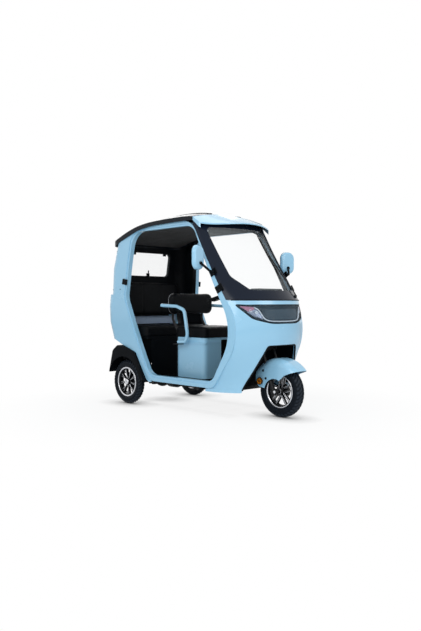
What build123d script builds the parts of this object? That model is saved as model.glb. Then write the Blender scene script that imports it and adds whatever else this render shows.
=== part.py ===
from build123d import *
import os
from math import asin, cos, radians, sin, sqrt, tan

# Electric passenger tricycle: a half-open cabin of moulded panels on a steel frame, with one steered
# front wheel and a motor-driven rear axle. All lengths are millimetres. +X is forward, +Y is the left
# side, +Z is up, and the origin is on the ground in the middle of the whole vehicle.

# Driving dimensions
overall_length = 2080.0
wheelbase = 1550.0
rear_track = 850.0
front_tyre_diameter = 444.0
front_tyre_width = 92.0
rear_tyre_diameter = 420.0
rear_tyre_width = 80.0
rim_seat_diameter = 284.0
rake_angle = 20.0
fork_offset = 29.0
body_half_width = 487.0
widest_height = 850.0
barrel_radius = 6800.0
taper_start_dx = -550.0
taper_radius = 2400.0
hoop_depth = 48.0
panel_thickness = 18.0
floor_top = 285.0
floor_thickness = 30.0
rail_height = 50.0
rail_width = 30.0
rail_half_spacing = 280.0
liner_thickness = 6.0
glass_thickness = 5.0
running_clearance = 0.05
seat_half_width = 250.0
seat_box_top = 655.0
driver_cushion_thickness = 98.0
armrest_diameter = 32.0
seam = 0.3

# Places that follow from them
front_tyre_radius = front_tyre_diameter / 2
rear_tyre_radius = rear_tyre_diameter / 2
front_axle_x = overall_length / 2 - front_tyre_radius
rear_axle_x = front_axle_x - wheelbase
wheel_y = rear_track / 2
floor_bottom = floor_top - floor_thickness


def from_front(dx):
    return front_axle_x + dx


def from_rear(dx):
    return rear_axle_x + dx


def place(anchor, dx):
    return from_front(dx) if anchor == "front" else from_rear(dx)


def both_sides(left):
    return Part() + [left, mirror(left, about=Plane.XZ)]


def other_side(left):
    return mirror(left, about=Plane.XZ)


def side_profile(corners):
    """A face in the vehicle's middle plane. Columns: anchor, dx, z, corner radius."""
    points = [(place(anchor, dx), 0, z) for anchor, dx, z, radius in corners]
    radii = [radius for anchor, dx, z, radius in corners]
    return make_face(FilletPolyline(*points, radius=radii, close=True))


def front_profile(corners, x):
    """A face across the vehicle at x, mirrored about the middle. Columns: y, z, corner radius."""
    left = [(y, z, radius) for y, z, radius in corners]
    right = [(-y, z, radius) for y, z, radius in reversed(corners)]
    points = [(x, y, z) for y, z, radius in left + right]
    radii = [radius for y, z, radius in left + right]
    return make_face(FilletPolyline(*points, radius=radii, close=True))


def across(face, y_from, y_to):
    return Pos(0, y_from, 0) * extrude(face, amount=y_to - y_from, dir=(0, 1, 0))


def along(face, length):
    return extrude(face, amount=length, dir=(1, 0, 0))


def block(x, y, z):
    """A box from its three ranges."""
    size = (x[1] - x[0], y[1] - y[0], z[1] - z[0])
    middle = ((x[0] + x[1]) / 2, (y[0] + y[1]) / 2, (z[0] + z[1]) / 2)
    return Pos(*middle) * Box(*size)


def rounded_block(x, y, z, radius):
    body = block(x, y, z)
    return fillet(body.edges(), radius)


def rod(start, end, radius):
    path = Line(start, end)
    plane = Plane(origin=start, z_dir=(Vector(*end) - Vector(*start)))
    return extrude(plane * Circle(radius), amount=path.length)


def bent_tube(points, radii, radius):
    path = FilletPolyline(*points, radius=radii)
    start = Plane(origin=path @ 0, z_dir=path % 0)
    return sweep(start * Circle(radius), path=path)


# The side of the cabin is one double-curved surface: barrelled in height and tapering to the nose.
def side_skin(outset, depth):
    """A thick piece of that surface on the left, from outset outside it to depth inside it."""
    back_x = from_rear(-400)
    bend_x = from_front(taper_start_dx)
    end_x = from_front(150)
    outer_radius = taper_radius + outset
    inner_radius = taper_radius - depth
    outer_y = body_half_width + outset
    inner_y = body_half_width - depth
    sweep_angle = asin((end_x - bend_x) / inner_radius)

    def on_arc(radius, angle):
        return (bend_x + radius * sin(angle), body_half_width - taper_radius + radius * cos(angle))

    outer = [on_arc(outer_radius, sweep_angle * share) for share in (0, 0.5, 1)]
    inner = [on_arc(inner_radius, sweep_angle * share) for share in (0, 0.5, 1)]
    edges = [
        Line((back_x, inner_y), (back_x, outer_y)),
        Line((back_x, outer_y), outer[0]),
        ThreePointArc(*outer),
        Line(outer[2], inner[2]),
        ThreePointArc(*reversed(inner)),
        Line(inner[0], (back_x, inner_y)),
    ]
    face = Pos(0, 0, widest_height) * make_face(edges)
    axis = Axis((0, body_half_width - barrel_radius, widest_height), (1, 0, 0))
    reach = 8.0
    return revolve(face.rotate(axis, -reach), axis, revolution_arc=2 * reach)


def skin_y(z):
    """Half the cabin's width at a height, where the sides are straight in plan."""
    return body_half_width - barrel_radius + sqrt(barrel_radius**2 - (z - widest_height) ** 2)


# Door hoops
# Columns: anchor, dx, z, corner radius
hoop_inner = [
    ("front", -634, 1645, 160),
    ("front", -138, 729, 420),
    ("front", -385, 304, 100),
    ("rear", 355, 304, 120),
    ("rear", 18, 1020, 130),
    ("rear", 82, 1645, 150),
]
hoop_outer = [
    ("front", -660, 1694, 210),
    ("front", -41, 720, 420),
    ("front", -375, 248, 100),
    ("rear", 330, 248, 140),
    ("rear", -35, 1020, 150),
    ("rear", 36, 1640, 110),
    ("rear", 300, 1680, 400),
]
hoop_groove = [
    ("front", -643, 1663, 180),
    ("front", -108, 726, 420),
    ("front", -381, 283, 100),
    ("rear", 346, 283, 130),
    ("rear", -1, 1020, 140),
    ("rear", 60, 1643, 130),
    ("rear", 300, 1661, 400),
]
groove_step = 6.0
hoop_bottom = 248.0


def hoop_ring(inner, outer):
    solid = across(side_profile(outer), 200, 600)
    return solid - across(side_profile(inner), 190, 610)


def door_hoop():
    main = hoop_ring(hoop_groove, hoop_outer) & side_skin(0, hoop_depth)
    lip = hoop_ring(hoop_inner, hoop_groove) & side_skin(-groove_step, hoop_depth)
    return main + lip


def hoop_tool():
    """Everything inside a hoop's outer outline, on both sides of the vehicle."""
    return across(side_profile(hoop_outer), -600, 600)


# Nose and windscreen, from level sections of one arc each
# Columns: z, side dx, half width there, middle dx
nose_sections = [
    (218, -450, 450, -13),
    (500, -220, 455, 5),
    (677, -150, 452, 40),
    (770, -150, 452, 50),
    (950, -205, 463, 35),
    (995, -215, 463, 25),
]
screen_sections = [
    (995, -215, 463, 25),
    (1200, -340, 466, -135),
    (1450, -485, 455, -310),
    (1690, -600, 433, -455),
]
nose_top = 990.0


def plan_section(z, side_dx, half_width, middle_dx, inset, back_dx):
    side_x = from_front(side_dx)
    back_x = from_front(back_dx)
    y = half_width - inset
    arc = ThreePointArc((side_x, -y, z), (from_front(middle_dx) - inset, 0, z), (side_x, y, z))
    rest = Polyline((side_x, y, z), (back_x, y, z), (back_x, -y, z), (side_x, -y, z))
    return Face(Wire([*arc.edges(), *rest.edges()]))


def nose_solid(inset):
    return loft([plan_section(*row, inset, -800 - inset) for row in nose_sections])


def screen_solid(inset):
    return loft([plan_section(*row, inset, -1100 - inset) for row in screen_sections])


# Wheel arch through the nose. Columns: y, z, corner radius
arch_outline = [(360, 235, 0), (176, 615, 45)]


def arch_prism(outset, back_dx, length):
    spread = outset * 1.2
    rows = [(arch_outline[0][0] + spread, 150, 0)]
    rows.append((arch_outline[1][0] + spread * 0.8, arch_outline[1][1] + outset, 45 + outset))
    return along(front_profile(rows, from_front(back_dx)), length)


# Headlight across the nose. Columns: y, z, corner radius
headlight_outline = [(425, 955, 6), (318, 838, 70), (150, 795, 200)]
bezel_depth = 46.0
lens_thickness = 4.0


def headlight_prism(inset):
    corner, side, foot = headlight_outline
    shrink = [
        (corner[0] - 2.6 * inset, corner[1] - inset, corner[2]),
        (side[0] - 0.7 * inset, side[1] + inset, side[2]),
        (foot[0], foot[1] + inset, foot[2]),
    ]
    return along(front_profile(shrink, from_front(-260)), 500)


def nose_panel(shells):
    lower_cut = block((from_front(-900), from_front(300)), (-600, 600), (nose_top, 1100))
    panel = shells["nose"] - shells["nose_inner"] - hoop_tool() - lower_cut
    rear_cut = block((from_front(-1000), from_front(-470)), (-600, 600), (100, 1200))
    return panel - rear_cut - arch_prism(0, -520, 800) - headlight_prism(0)


def headlight_slice(outside, inside, shrink):
    """What lies between two depths under the nose's surface, within the headlight's outline."""
    return (nose_solid(outside) - nose_solid(inside)) & headlight_prism(shrink)


def headlight_lens():
    return headlight_slice(0, lens_thickness, seam) - hoop_tool()


def headlight_housing():
    """Open tray behind the lens."""
    wall = 4.0
    tray = headlight_slice(lens_thickness + seam, bezel_depth, seam)
    return tray - headlight_slice(0, bezel_depth - wall, wall) - hoop_tool()


def arch_liner():
    back = -285.0
    outer = arch_prism(liner_thickness, back, 500)
    inner = arch_prism(0, back + liner_thickness, 520)
    inside = nose_solid(panel_thickness + 0.5)
    shell = (outer - inner) & inside
    below = block((from_front(-700), from_front(200)), (-600, 600), (0, floor_bottom - 5))
    return shell - below - head_tube_hole() - hoop_sides()


def hoop_sides():
    """The space the two hoops take up, for cutting pieces that meet them."""
    return both_sides(across(side_profile(hoop_outer), 380, 600))


# Steering axis: local Z runs up the axis from the ground, local X points forward
axis_ground_x = front_axle_x + (front_tyre_radius * sin(radians(rake_angle)) - fork_offset) / cos(
    radians(rake_angle)
)
hub_along_axis = (front_axle_x - axis_ground_x) * -sin(radians(rake_angle)) + front_tyre_radius * cos(
    radians(rake_angle)
)
steer = Pos(axis_ground_x, 0, 0) * Rot(0, -rake_angle, 0)
leg_y = front_tyre_width / 2 + 29.0
leg_radius = 20.0
stanchion_radius = 14.0
leg_top = 470.0
yoke_bottom = 600.0
yoke_thickness = 25.0
head_bottom = yoke_bottom + yoke_thickness + 0.5
head_length = 150.0
head_radius = 27.0
stem_radius = 15.0
column_top = 1062.0
front_axle_radius = 7.0


def steer_cylinder(x, y, bottom, top, radius):
    height = top - bottom
    return steer * Pos(x, y, bottom + height / 2) * Cylinder(radius, height)


def head_tube():
    outer = steer_cylinder(0, 0, head_bottom, head_bottom + head_length, head_radius)
    return outer - steer_cylinder(0, 0, 0, 1500, stem_radius + running_clearance)


def head_tube_hole():
    return steer_cylinder(0, 0, head_bottom - 60, head_bottom + head_length, head_radius + 1)


def fork_legs():
    parts = []
    for y in (-leg_y, leg_y):
        tube = steer_cylinder(0, y, hub_along_axis - 25, leg_top, leg_radius)
        lug = steer * Pos(fork_offset, y, hub_along_axis) * Rot(90, 0, 0) * Cylinder(20, 30)
        bridge = steer * Pos(fork_offset / 2, y, hub_along_axis) * Box(fork_offset, 24, 34)
        leg = tube + lug + bridge
        parts.append(leg - front_axle_bar(front_axle_radius))
    return Part() + parts


def front_axle_bar(radius, half_length=leg_y + 20):
    return Pos(front_axle_x, 0, front_tyre_radius) * Rot(90, 0, 0) * Cylinder(radius, 2 * half_length)


def front_axle():
    bar = front_axle_bar(front_axle_radius)
    for side in (-1, 1):
        nut = Pos(front_axle_x, side * (leg_y + 20), front_tyre_radius) * Rot(90, 0, 0)
        bar += nut * extrude(RegularPolygon(13, 6), amount=5, both=True)
    return bar


def steering_stem():
    yoke = steer * Pos(0, 0, yoke_bottom + yoke_thickness / 2) * Box(56, 2 * leg_y + 50, yoke_thickness)
    yoke = fillet(yoke.edges().filter_by(steer_direction()), 14)
    stem = steer_cylinder(0, 0, yoke_bottom + 5, column_top, stem_radius)
    collar = steer_cylinder(0, 0, head_bottom + head_length + 0.5, head_bottom + head_length + 22, 22)
    parts = [yoke, stem, collar]
    for y in (-leg_y, leg_y):
        parts.append(steer_cylinder(0, y, leg_top, yoke_bottom + 5, stanchion_radius))
    return Part() + parts


def steer_direction():
    return Axis((0, 0, 0), (-sin(radians(rake_angle)), 0, cos(radians(rake_angle))))


# Front fender: a turned U section about the wheel's axis, trimmed in side view
fender_half_width = 106.0
fender_radius = 281.0
fender_wall = 3.5
# Columns: anchor, dx, z, corner radius
fender_outline = [
    ("front", -196, 300, 20),
    ("front", -170, 258, 22),
    ("front", -92, 244, 60),
    ("front", 5, 282, 80),
    ("front", 110, 368, 60),
    ("front", 214, 404, 10),
    ("front", 260, 480, 0),
    ("front", 120, 620, 0),
    ("front", -150, 620, 0),
    ("front", -215, 440, 30),
]


def fender_section(half_width, radius, corner):
    points = [(-half_width, 110), (half_width, 110), (half_width, radius), (-half_width, radius)]
    plane = Plane(origin=(0, 0, 0), x_dir=(0, 1, 0), z_dir=(1, 0, 0))
    corners = [(0, y, z) for y, z in points]
    return make_face(FilletPolyline(*corners, radius=[1, 1, corner, corner], close=True))


def front_fender():
    outer = revolve(fender_section(fender_half_width, fender_radius, 62), Axis.Y, 360)
    inner_half = fender_half_width - fender_wall
    inner = revolve(fender_section(inner_half, fender_radius - fender_wall, 58.5), Axis.Y, 360)
    shell = Pos(front_axle_x, 0, front_tyre_radius) * (outer - inner)
    shell = shell & across(side_profile(fender_outline), -200, 200)
    bolt_z = (331.0, 405.0)
    for side in (-1, 1):
        for z in bolt_z:
            x = axis_ground_x - z * tan(radians(rake_angle))
            start, end = (x, side * leg_y, z), (x, side * (fender_half_width + 3), z)
            shell += rod(start, end, 7)
        shell -= steer_cylinder(0, side * leg_y, 250, leg_top, leg_radius + seam)
        shell -= steer_cylinder(0, side * leg_y, leg_top - 5, 700, leg_radius + 2)
    return shell


def turn_lamps():
    lamps = []
    for side in (-1, 1):
        where = Pos(from_front(-150), side * (fender_half_width + 7), 304) * Rot(90, 0, 0)
        lamp = where * Cylinder(28, 14)
        lamps.append(fillet(lamp.faces().sort_by(Axis.Y)[-1 if side > 0 else 0].edges(), 4))
    return Part() + lamps


# Handlebar: clamp on the column, then a bar swept back to the grips
bar_radius = 11.0
grip_radius = 16.0
# Columns: x from the column's top, y, z from the column's top
bar_points = [(0, 90, 0), (-60, 130, 18), (-205, 190, 28), (-222, 210, 25), (-247, 318, -10)]
bar_bends = [30, 60, 18]


def column_head():
    x = axis_ground_x - column_top * sin(radians(rake_angle))
    return x, column_top * cos(radians(rake_angle))


def bar_route(side):
    x, z = column_head()
    return [(x + dx, side * y, z + dz) for dx, y, dz in bar_points]


def handlebar():
    x, z = column_head()
    parts = [rod((x, -91, z), (x, 91, z), bar_radius)]
    for side in (-1, 1):
        parts.append(bent_tube(bar_route(side), bar_bends, bar_radius))
    clamp = steer * Pos(0, 0, column_top - 2) * Box(44, 60, 44)
    return Part() + parts + fillet(clamp.edges(), 6) - steering_column_space()


def steering_column_space():
    return steer_cylinder(0, 0, 0, column_top, stem_radius)


def hand_grips():
    grips = []
    for side in (-1, 1):
        route = bar_route(side)
        start, end = Vector(*route[3]), Vector(*route[4])
        run = (end - start).normalized()
        first = start + run * 14
        last = end + run * 4
        grip = rod(tuple(first), tuple(last), grip_radius)
        core = rod(tuple(start), tuple(end), bar_radius)
        grips.append(fillet(grip.edges().filter_by(GeomType.CIRCLE), 4) - core)
    return Part() + grips


# Wheels are turned about Y through their hub
tyre_wall = 10.0
flange_height = 10.0
flange_thickness = 3.5
barrel_thickness = 6.0


def bead_seat(width):
    """Half the rim's width between its flanges."""
    return width * 0.33


def tyre(diameter, width, bead):
    radius = diameter / 2
    half = width / 2
    seat = bead_seat(width)
    shoulder = half * 0.78
    outer = [
        (bead, seat),
        (bead + flange_height + 1, seat),
        (bead + flange_height + 12, half * 0.93),
        (bead + (radius - bead) * 0.55, half),
        (radius - 16, shoulder + 3),
        (radius - 5, shoulder - 8),
        (radius, 0),
    ]
    points = outer + [(r, -y) for r, y in reversed(outer[:-1])]
    inner = [(bead, tyre_wall - seat), (bead + 16, tyre_wall - seat), (radius - 24, tyre_wall - half)]
    points += inner + [(r, -y) for r, y in reversed(inner)]
    face = make_face(Polyline(*[(0, y, r) for r, y in points], close=True))
    return revolve(face, Axis.Y, 360)


def spoke(inner, outer, width, thickness, offset, lean):
    """One wheel spoke standing up from the hub, offset sideways and leaning."""
    bar = Pos(offset, 0, (inner + outer) / 2) * Box(width, thickness, outer - inner)
    return Rot(0, lean, 0) * bar


def rim(bead, width, hub_radius, hub_width, bore, spokes):
    """Cast wheel: barrel with two lips, hub and spokes. Spokes: angle, offset, lean, width."""
    seat = bead_seat(width)
    edge = seat + flange_thickness
    well = bead - barrel_thickness
    right = [
        (bead, seat),
        (bead + flange_height, seat),
        (bead + flange_height, edge),
        (well, edge),
        (well - 7, seat * 0.55),
    ]
    profile = right + [(r, -y) for r, y in reversed(right)]
    barrel = revolve(make_face(Polyline(*[(0, y, r) for r, y in profile], close=True)), Axis.Y, 360)
    hub = Rot(90, 0, 0) * Cylinder(hub_radius, hub_width)
    parts = [barrel, fillet(hub.edges(), 3)]
    for angle, offset, lean, thick in spokes:
        parts.append(Rot(0, angle, 0) * spoke(hub_radius - 4, bead - 8, thick, width * 0.32, offset, lean))
    return Part() + parts - Rot(90, 0, 0) * Cylinder(bore, hub_width + 20)


bead_radius = rim_seat_diameter / 2 - flange_height
front_spoke_count = 5
rear_spoke_count = 9


def front_rim():
    spokes = []
    for index in range(front_spoke_count):
        angle = 360 / front_spoke_count * index
        spokes += [(angle, 13, 5, 11), (angle, -13, -5, 11)]
    wheel = rim(bead_radius, front_tyre_width, 34, 84, front_axle_radius + running_clearance, spokes)
    drum = Pos(0, 22, 0) * Rot(90, 0, 0) * (Cylinder(62, 34) - Cylinder(front_axle_radius + 0.05, 40))
    return Pos(front_axle_x, 0, front_tyre_radius) * (wheel + drum)


def rear_rim(side):
    spokes = []
    for index in range(rear_spoke_count):
        angle = 360 / rear_spoke_count * index
        spokes += [(angle, 10, 9, 6), (angle, -10, -9, 6)]
    wheel = rim(bead_radius, rear_tyre_width, 30, 60, stub_radius + running_clearance, spokes)
    cap = Pos(0, side * 32, 0) * Rot(90, 0, 0) * Cylinder(26, 6)
    drum = Pos(0, -side * 20, 0) * Rot(90, 0, 0) * Cylinder(70, 20)
    hole = Rot(90, 0, 0) * Cylinder(stub_radius + running_clearance, 60)
    return Pos(rear_axle_x, side * wheel_y, rear_tyre_radius) * (wheel + (drum - hole) + cap)


# Rear axle with its motor, on two leaf springs
stub_radius = 12.0
axle_radius = 25.0
motor_radius = 75.0
spring_y = rail_half_spacing + 55.0
spring_half_length = 236.0
spring_thickness = 20.0
spring_end_z = 305.0
spring_eye_radius = 13.0
spring_eye_z = spring_end_z + spring_thickness - 3
spring_width = 40.0


def rear_axle():
    z = rear_tyre_radius
    tube = rod((rear_axle_x, -wheel_y + 60, z), (rear_axle_x, wheel_y - 60, z), axle_radius)
    stub = rod((rear_axle_x, -wheel_y - 28, z), (rear_axle_x, wheel_y + 28, z), stub_radius)
    ball = Pos(rear_axle_x, 0, z) * Sphere(82)
    parts = [tube, stub, ball]
    for side in (-1, 1):
        plate = Pos(rear_axle_x, side * (wheel_y - 42), z) * Rot(90, 0, 0) * Cylinder(68, 14)
        seat = block(
            (rear_axle_x - 30, rear_axle_x + 30),
            (side * spring_y - 25, side * spring_y + 25),
            (z, z + axle_radius + 4),
        )
        parts += [plate, seat]
    return Part() + parts


def drive_motor():
    start = (from_rear(80), 30, rear_tyre_radius)
    end = (from_rear(215), 30, rear_tyre_radius)
    body = rod(start, end, motor_radius)
    body = fillet(body.edges().filter_by(GeomType.CIRCLE), 8)
    fins = []
    for index in range(6):
        x = from_rear(100 + index * 18)
        fins.append(rod((x, 30, rear_tyre_radius), (x + 6, 30, rear_tyre_radius), motor_radius + 6))
    return body + fins - Pos(rear_axle_x, 0, rear_tyre_radius) * Sphere(82)


def leaf_springs():
    seat_z = rear_tyre_radius + axle_radius + 4
    springs = []
    for side in (-1, 1):
        leaves = []
        for count, share in ((0, 1.0), (1, 0.66), (2, 0.36)):
            low = seat_z + (2 - count) * spring_thickness / 3
            high = low + spring_thickness / 3
            reach = spring_half_length * share
            rise = (spring_end_z - seat_z) * share**2
            left, right = from_rear(-reach), from_rear(reach)
            under = ThreePointArc((left, 0, low + rise), (rear_axle_x, 0, low), (right, 0, low + rise))
            over = ThreePointArc((right, 0, high + rise), (rear_axle_x, 0, high), (left, 0, high + rise))
            ends = [Line(under @ 1, over @ 0), Line(over @ 1, under @ 0)]
            face = Face(Wire([*under.edges(), ends[0].edge(), *over.edges(), ends[1].edge()]))
            middle = side * spring_y
            leaves.append(across(face, middle - spring_width / 2, middle + spring_width / 2))
        spring = Part() + leaves
        for end in (-1, 1):
            x = from_rear(end * (spring_half_length - 4))
            y = side * spring_y
            start = (x, y - spring_width / 2, spring_eye_z)
            end_point = (x, y + spring_width / 2, spring_eye_z)
            spring += rod(start, end_point, spring_eye_radius)
        springs.append(spring)
    return Part() + springs


# Chassis: two rails that step up over the axle, cross members, neck and head tube
rail_top = floor_bottom
rail_bottom = floor_bottom - rail_height
high_rail_top = 410.0
# Columns: anchor, dx, z, corner radius
rail_outline = [
    ("front", -290, rail_top, 0),
    ("front", -290, rail_bottom, 0),
    ("rear", 190, rail_bottom, 25),
    ("rear", 100, high_rail_top - rail_height, 25),
    ("rear", -232, high_rail_top - rail_height, 0),
    ("rear", -232, high_rail_top, 0),
    ("rear", 125, high_rail_top, 25),
    ("rear", 215, rail_top, 25),
]
cross_member = 30.0
# Columns: x, half length
cross_members = [
    (from_rear(372), 452),
    (from_rear(640), 452),
    (from_front(-580), 452),
    (from_front(-400), 405),
    (from_front(-320), 380),
]


def chassis_frame():
    half = rail_width / 2
    face = side_profile(rail_outline)
    parts = []
    for side in (-1, 1):
        middle = side * rail_half_spacing
        parts.append(across(face, middle - half, middle + half))
        low_y, high_y = sorted((side * (rail_half_spacing), side * (spring_y + 28)))
        front_x = from_rear(spring_half_length)
        below_eye = (rail_bottom, spring_eye_z - spring_eye_radius - seam)
        hanger = block((front_x - 14, front_x + 14), (low_y, high_y), below_eye)
        back_x = from_rear(-spring_half_length)
        above_eye = (spring_eye_z + spring_eye_radius + seam, high_rail_top)
        shackle = block((back_x + 6, back_x + 30), (low_y, high_y), above_eye)
        parts += [hanger, shackle]
    for x, reach in cross_members:
        parts.append(
            block((x, x + cross_member), (-reach, reach), (hoop_bottom - cross_member, hoop_bottom))
        )
    for x in (from_rear(-230), from_rear(60)):
        parts.append(
            block(
                (x, x + cross_member),
                (-rail_half_spacing, rail_half_spacing),
                (high_rail_top - cross_member, high_rail_top),
            )
        )
    neck_x = (from_front(-327), from_front(-287))
    neck = block(neck_x, (-25, 25), (hoop_bottom - cross_member, 720))
    arm = block((from_front(-327), from_front(-190)), (-22, 22), (672, 720))
    bore = steer_cylinder(0, 0, 0, 1500, head_radius - 3)
    return Part() + parts + (neck + arm - bore) + head_tube()


def floor_pan():
    """Pressed floor with lengthwise ribs, between the hoops."""
    edge = 402.0
    pan = block((from_rear(262), from_front(-328)), (-edge, edge), (floor_bottom, floor_top - 6))
    ribs = []
    for index in range(-6, 7):
        y = index * 58.0
        rib_x = (from_rear(275), from_front(-340))
        ribs.append(block(rib_x, (y - 16, y + 16), (floor_top - 6, floor_top)))
    kerbs = []
    for side in (-1, 1):
        low_y, high_y = sorted((side * (edge - 14), side * edge))
        kerb_x = (from_rear(262), from_front(-328))
        kerbs.append(block(kerb_x, (low_y, high_y), (floor_top - 6, floor_top + 6)))
    return Part() + [pan] + ribs + kerbs


def toe_board():
    """Closing panel between floor and arch liner, with a slot round the neck."""
    board = block((from_front(-328), from_front(-322)), (-402, 402), (floor_top + seam, 660))
    return board - block((from_front(-340), from_front(-300)), (-30, 30), (200, 740))


# Driver's seat
seat_back_x = 480.0
seat_front_x = 862.0
cushion_top = seat_box_top + driver_cushion_thickness


def seat_box():
    x = (from_rear(seat_back_x), from_rear(seat_front_x))
    outer = block(x, (-seat_half_width, seat_half_width), (floor_top, seat_box_top))
    outer = fillet(outer.edges().filter_by(Axis.Z), 48)
    outer = chamfer(outer.faces().sort_by(Axis.Z)[-1].edges(), 4)
    wall = 6.0
    y = (-seat_half_width + wall, seat_half_width - wall)
    inner = block((x[0] + wall, x[1] - wall), y, (floor_top - 1, seat_box_top - wall))
    inner = fillet(inner.edges().filter_by(Axis.Z), 42)
    shelf = block((x[0] - 6, x[1] + 10), (-seat_half_width - 8, seat_half_width + 8), (600, 612))
    rim_line = fillet(shelf.edges().filter_by(Axis.Z), 50)
    reach = seat_half_width + 20
    return outer + (rim_line & block((x[0] - 6, x[1] + 3), (-reach, reach), (600, 612))) - inner


def battery_pack():
    return block(
        (from_rear(seat_back_x + 45), from_rear(seat_front_x - 45)),
        (-190, 190),
        (floor_top, floor_top + 230),
    )


def seat_cushion():
    x = (from_rear(seat_back_x - 20), from_rear(seat_front_x + 22))
    body = block(x, (-seat_half_width - 18, seat_half_width + 18), (seat_box_top + seam, cushion_top))
    body = fillet(body.edges().filter_by(Axis.Z), 55)
    return fillet(body.faces().sort_by(Axis.Z)[-1].edges(), 22)


backrest_z = (855.0, 1070.0)
backrest_x = (385.0, 455.0)


def backrest_pad():
    x = (from_rear(backrest_x[0]), from_rear(backrest_x[1]))
    reach = seat_half_width + 32
    body = block(x, (-reach, reach), backrest_z)
    body = fillet(body.edges().filter_by(Axis.X), 70)
    return fillet(body.faces().sort_by(Axis.X)[-1].edges(), 24)


armrest_y = seat_half_width + 62.0
# Columns: dx from the rear axle, z
arm_points = [(350, 946), (560, 938), (665, 905), (708, 690), (690, 618), (585, 612)]
arm_bends = [120, 60, 60, 40]


def armrest():
    points = [(from_rear(x), armrest_y, z) for x, z in arm_points]
    return bent_tube(points, arm_bends, armrest_diameter / 2)


def armrest_brackets():
    parts = []
    for side in (-1, 1):
        low_y, high_y = sorted((side * seat_half_width, side * (armrest_y + 14)))
        plate = block((from_rear(530), from_rear(590)), (low_y, high_y), (588, 596))
        parts.append(plate)
    return Part() + parts


post_radius = 12.0


def seat_frame():
    """Two posts behind the driver's seat that carry the backrest and the armrests."""
    parts = []
    post_x = from_rear(seat_back_x - 34)
    pad_x = from_rear(backrest_x[0] - post_radius - seam)
    for side in (-1, 1):
        y = side * (seat_half_width - 60)
        bent = [(post_x, y, floor_top), (post_x, y, 690), (pad_x, y, 815), (pad_x, y, 1030)]
        parts.append(bent_tube(bent, [60, 60], post_radius))
    reach = armrest_y - armrest_diameter / 2
    bar = rod((pad_x, -reach, 946), (pad_x, reach, 946), post_radius)
    return Part() + parts + bar


# Passenger seat
rear_seat_front = 262.0
rear_seat_back = -188.0
rear_cushion_top = 752.0


def rear_seat_base():
    x = (from_rear(rear_seat_back), from_rear(rear_seat_front))
    top = block(x, (-352, 352), (high_rail_top, 652))
    hollow = block((x[0] + 10, x[1] - 10), (-342, 342), (high_rail_top - 1, 640))
    skirt = block((x[1] - 10, x[1]), (-352, 352), (floor_bottom, high_rail_top))
    wings = block((x[0], x[1]), (-405, 405), (630, 652))
    return top + wings - hollow + skirt - rail_space()


def rail_space():
    face = side_profile(rail_outline)
    half = rail_width / 2
    return both_sides(across(face, rail_half_spacing - half, rail_half_spacing + half))


def rear_seat_cushion():
    x = (from_rear(rear_seat_back + 10), from_rear(rear_seat_front + 14))
    body = block(x, (-430, 430), (652 + seam, rear_cushion_top))
    body = fillet(body.edges().filter_by(Axis.Z), 30)
    return fillet(body.faces().sort_by(Axis.Z)[-1].edges(), 20)


def rear_backrest():
    back = upper_sections[0][1] + panel_thickness + liner_thickness + 2 * seam
    x = (from_rear(back), from_rear(back + 80))
    body = block(x, (-364, 364), (rear_cushion_top + 83, belt_height + 138))
    body = fillet(body.edges().filter_by(Axis.X), 40)
    return fillet(body.faces().sort_by(Axis.X)[-1].edges(), 20)


# Rear cabin: level sections with rounded corners, below and above the belt line
# Heights in the tables are those of a belt line at drawn_belt_height. They move in step with the belt
belt_height = 1052.0
drawn_belt_height = 1052.0
sill_height = 500.0
roof_rear_edge = 1520.0


def below_belt(z):
    share = (z - sill_height) / (drawn_belt_height - sill_height)
    return sill_height + share * (belt_height - sill_height)


def above_belt(z):
    share = (z - drawn_belt_height) / (roof_rear_edge - drawn_belt_height)
    return belt_height + share * (roof_rear_edge - belt_height)


# Columns: z, rear wall dx
lower_sections = [
    (sill_height, -212),
    (below_belt(616), -240),
    (below_belt(790), -298),
    (below_belt(940), -308),
    (belt_height, -296),
]
upper_sections = [(belt_height, -262), (above_belt(1300), -262), (1560, -215), (1690, -185)]
corner_radius = 120.0


def shell_section(z, rear_dx, inset):
    y = skin_y(z) - 1 - inset
    back = from_rear(rear_dx) + inset
    front = from_rear(700)
    points = [(front, -y, z), (front, y, z), (back, y, z), (back, -y, z)]
    corner = corner_radius - inset
    return make_face(FilletPolyline(*points, radius=[0, 0, corner, corner], close=True))


def rear_solid(sections, inset):
    return loft([shell_section(z, rear_dx, inset) for z, rear_dx in sections], ruled=True)


# Lower edge of the quarter panel. Columns: anchor, dx, z, corner radius
quarter_outline = [
    ("rear", -400, 616, 0),
    ("rear", -150, 616, 60),
    ("rear", -43, 572, 60),
    ("rear", 165, 505, 40),
    ("rear", 300, 258, 25),
    ("rear", 335, 236, 0),
    ("rear", 700, 236, 0),
    ("rear", 700, 1672, 0),
    ("rear", -400, 1672, 0),
]
panel_split_y = 330.0


def roof_space():
    """What the roof panel covers, from its lower edge upwards."""
    tall = [(*row[:3], row[3] + 200, row[4] + 200, row[5]) for row in roof_sections]
    return crown_solid(tall, -8, seam) + crown_solid(roof_sections, -8, seam)


def rear_shell(inset, depth):
    """Upper and lower rear body, between two depths under its outside."""
    thick = rear_solid(lower_sections, inset) + rear_solid(upper_sections, inset)
    thin = rear_solid(lower_sections, depth) + rear_solid(upper_sections, depth)
    return thick - thin + belt_ledge()


def belt_ledge():
    """The shelf where the fuller lower body meets the upper one."""
    low = belt_height - panel_thickness
    slab = block((from_rear(-400), from_rear(100)), (-600, 600), (low, belt_height))
    hole = shell_section(low - 1, upper_sections[0][1], panel_thickness)
    hole = extrude(hole, amount=panel_thickness + 2, dir=(0, 0, 1))
    return (rear_solid(lower_sections, 0) & slab) - hole


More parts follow.
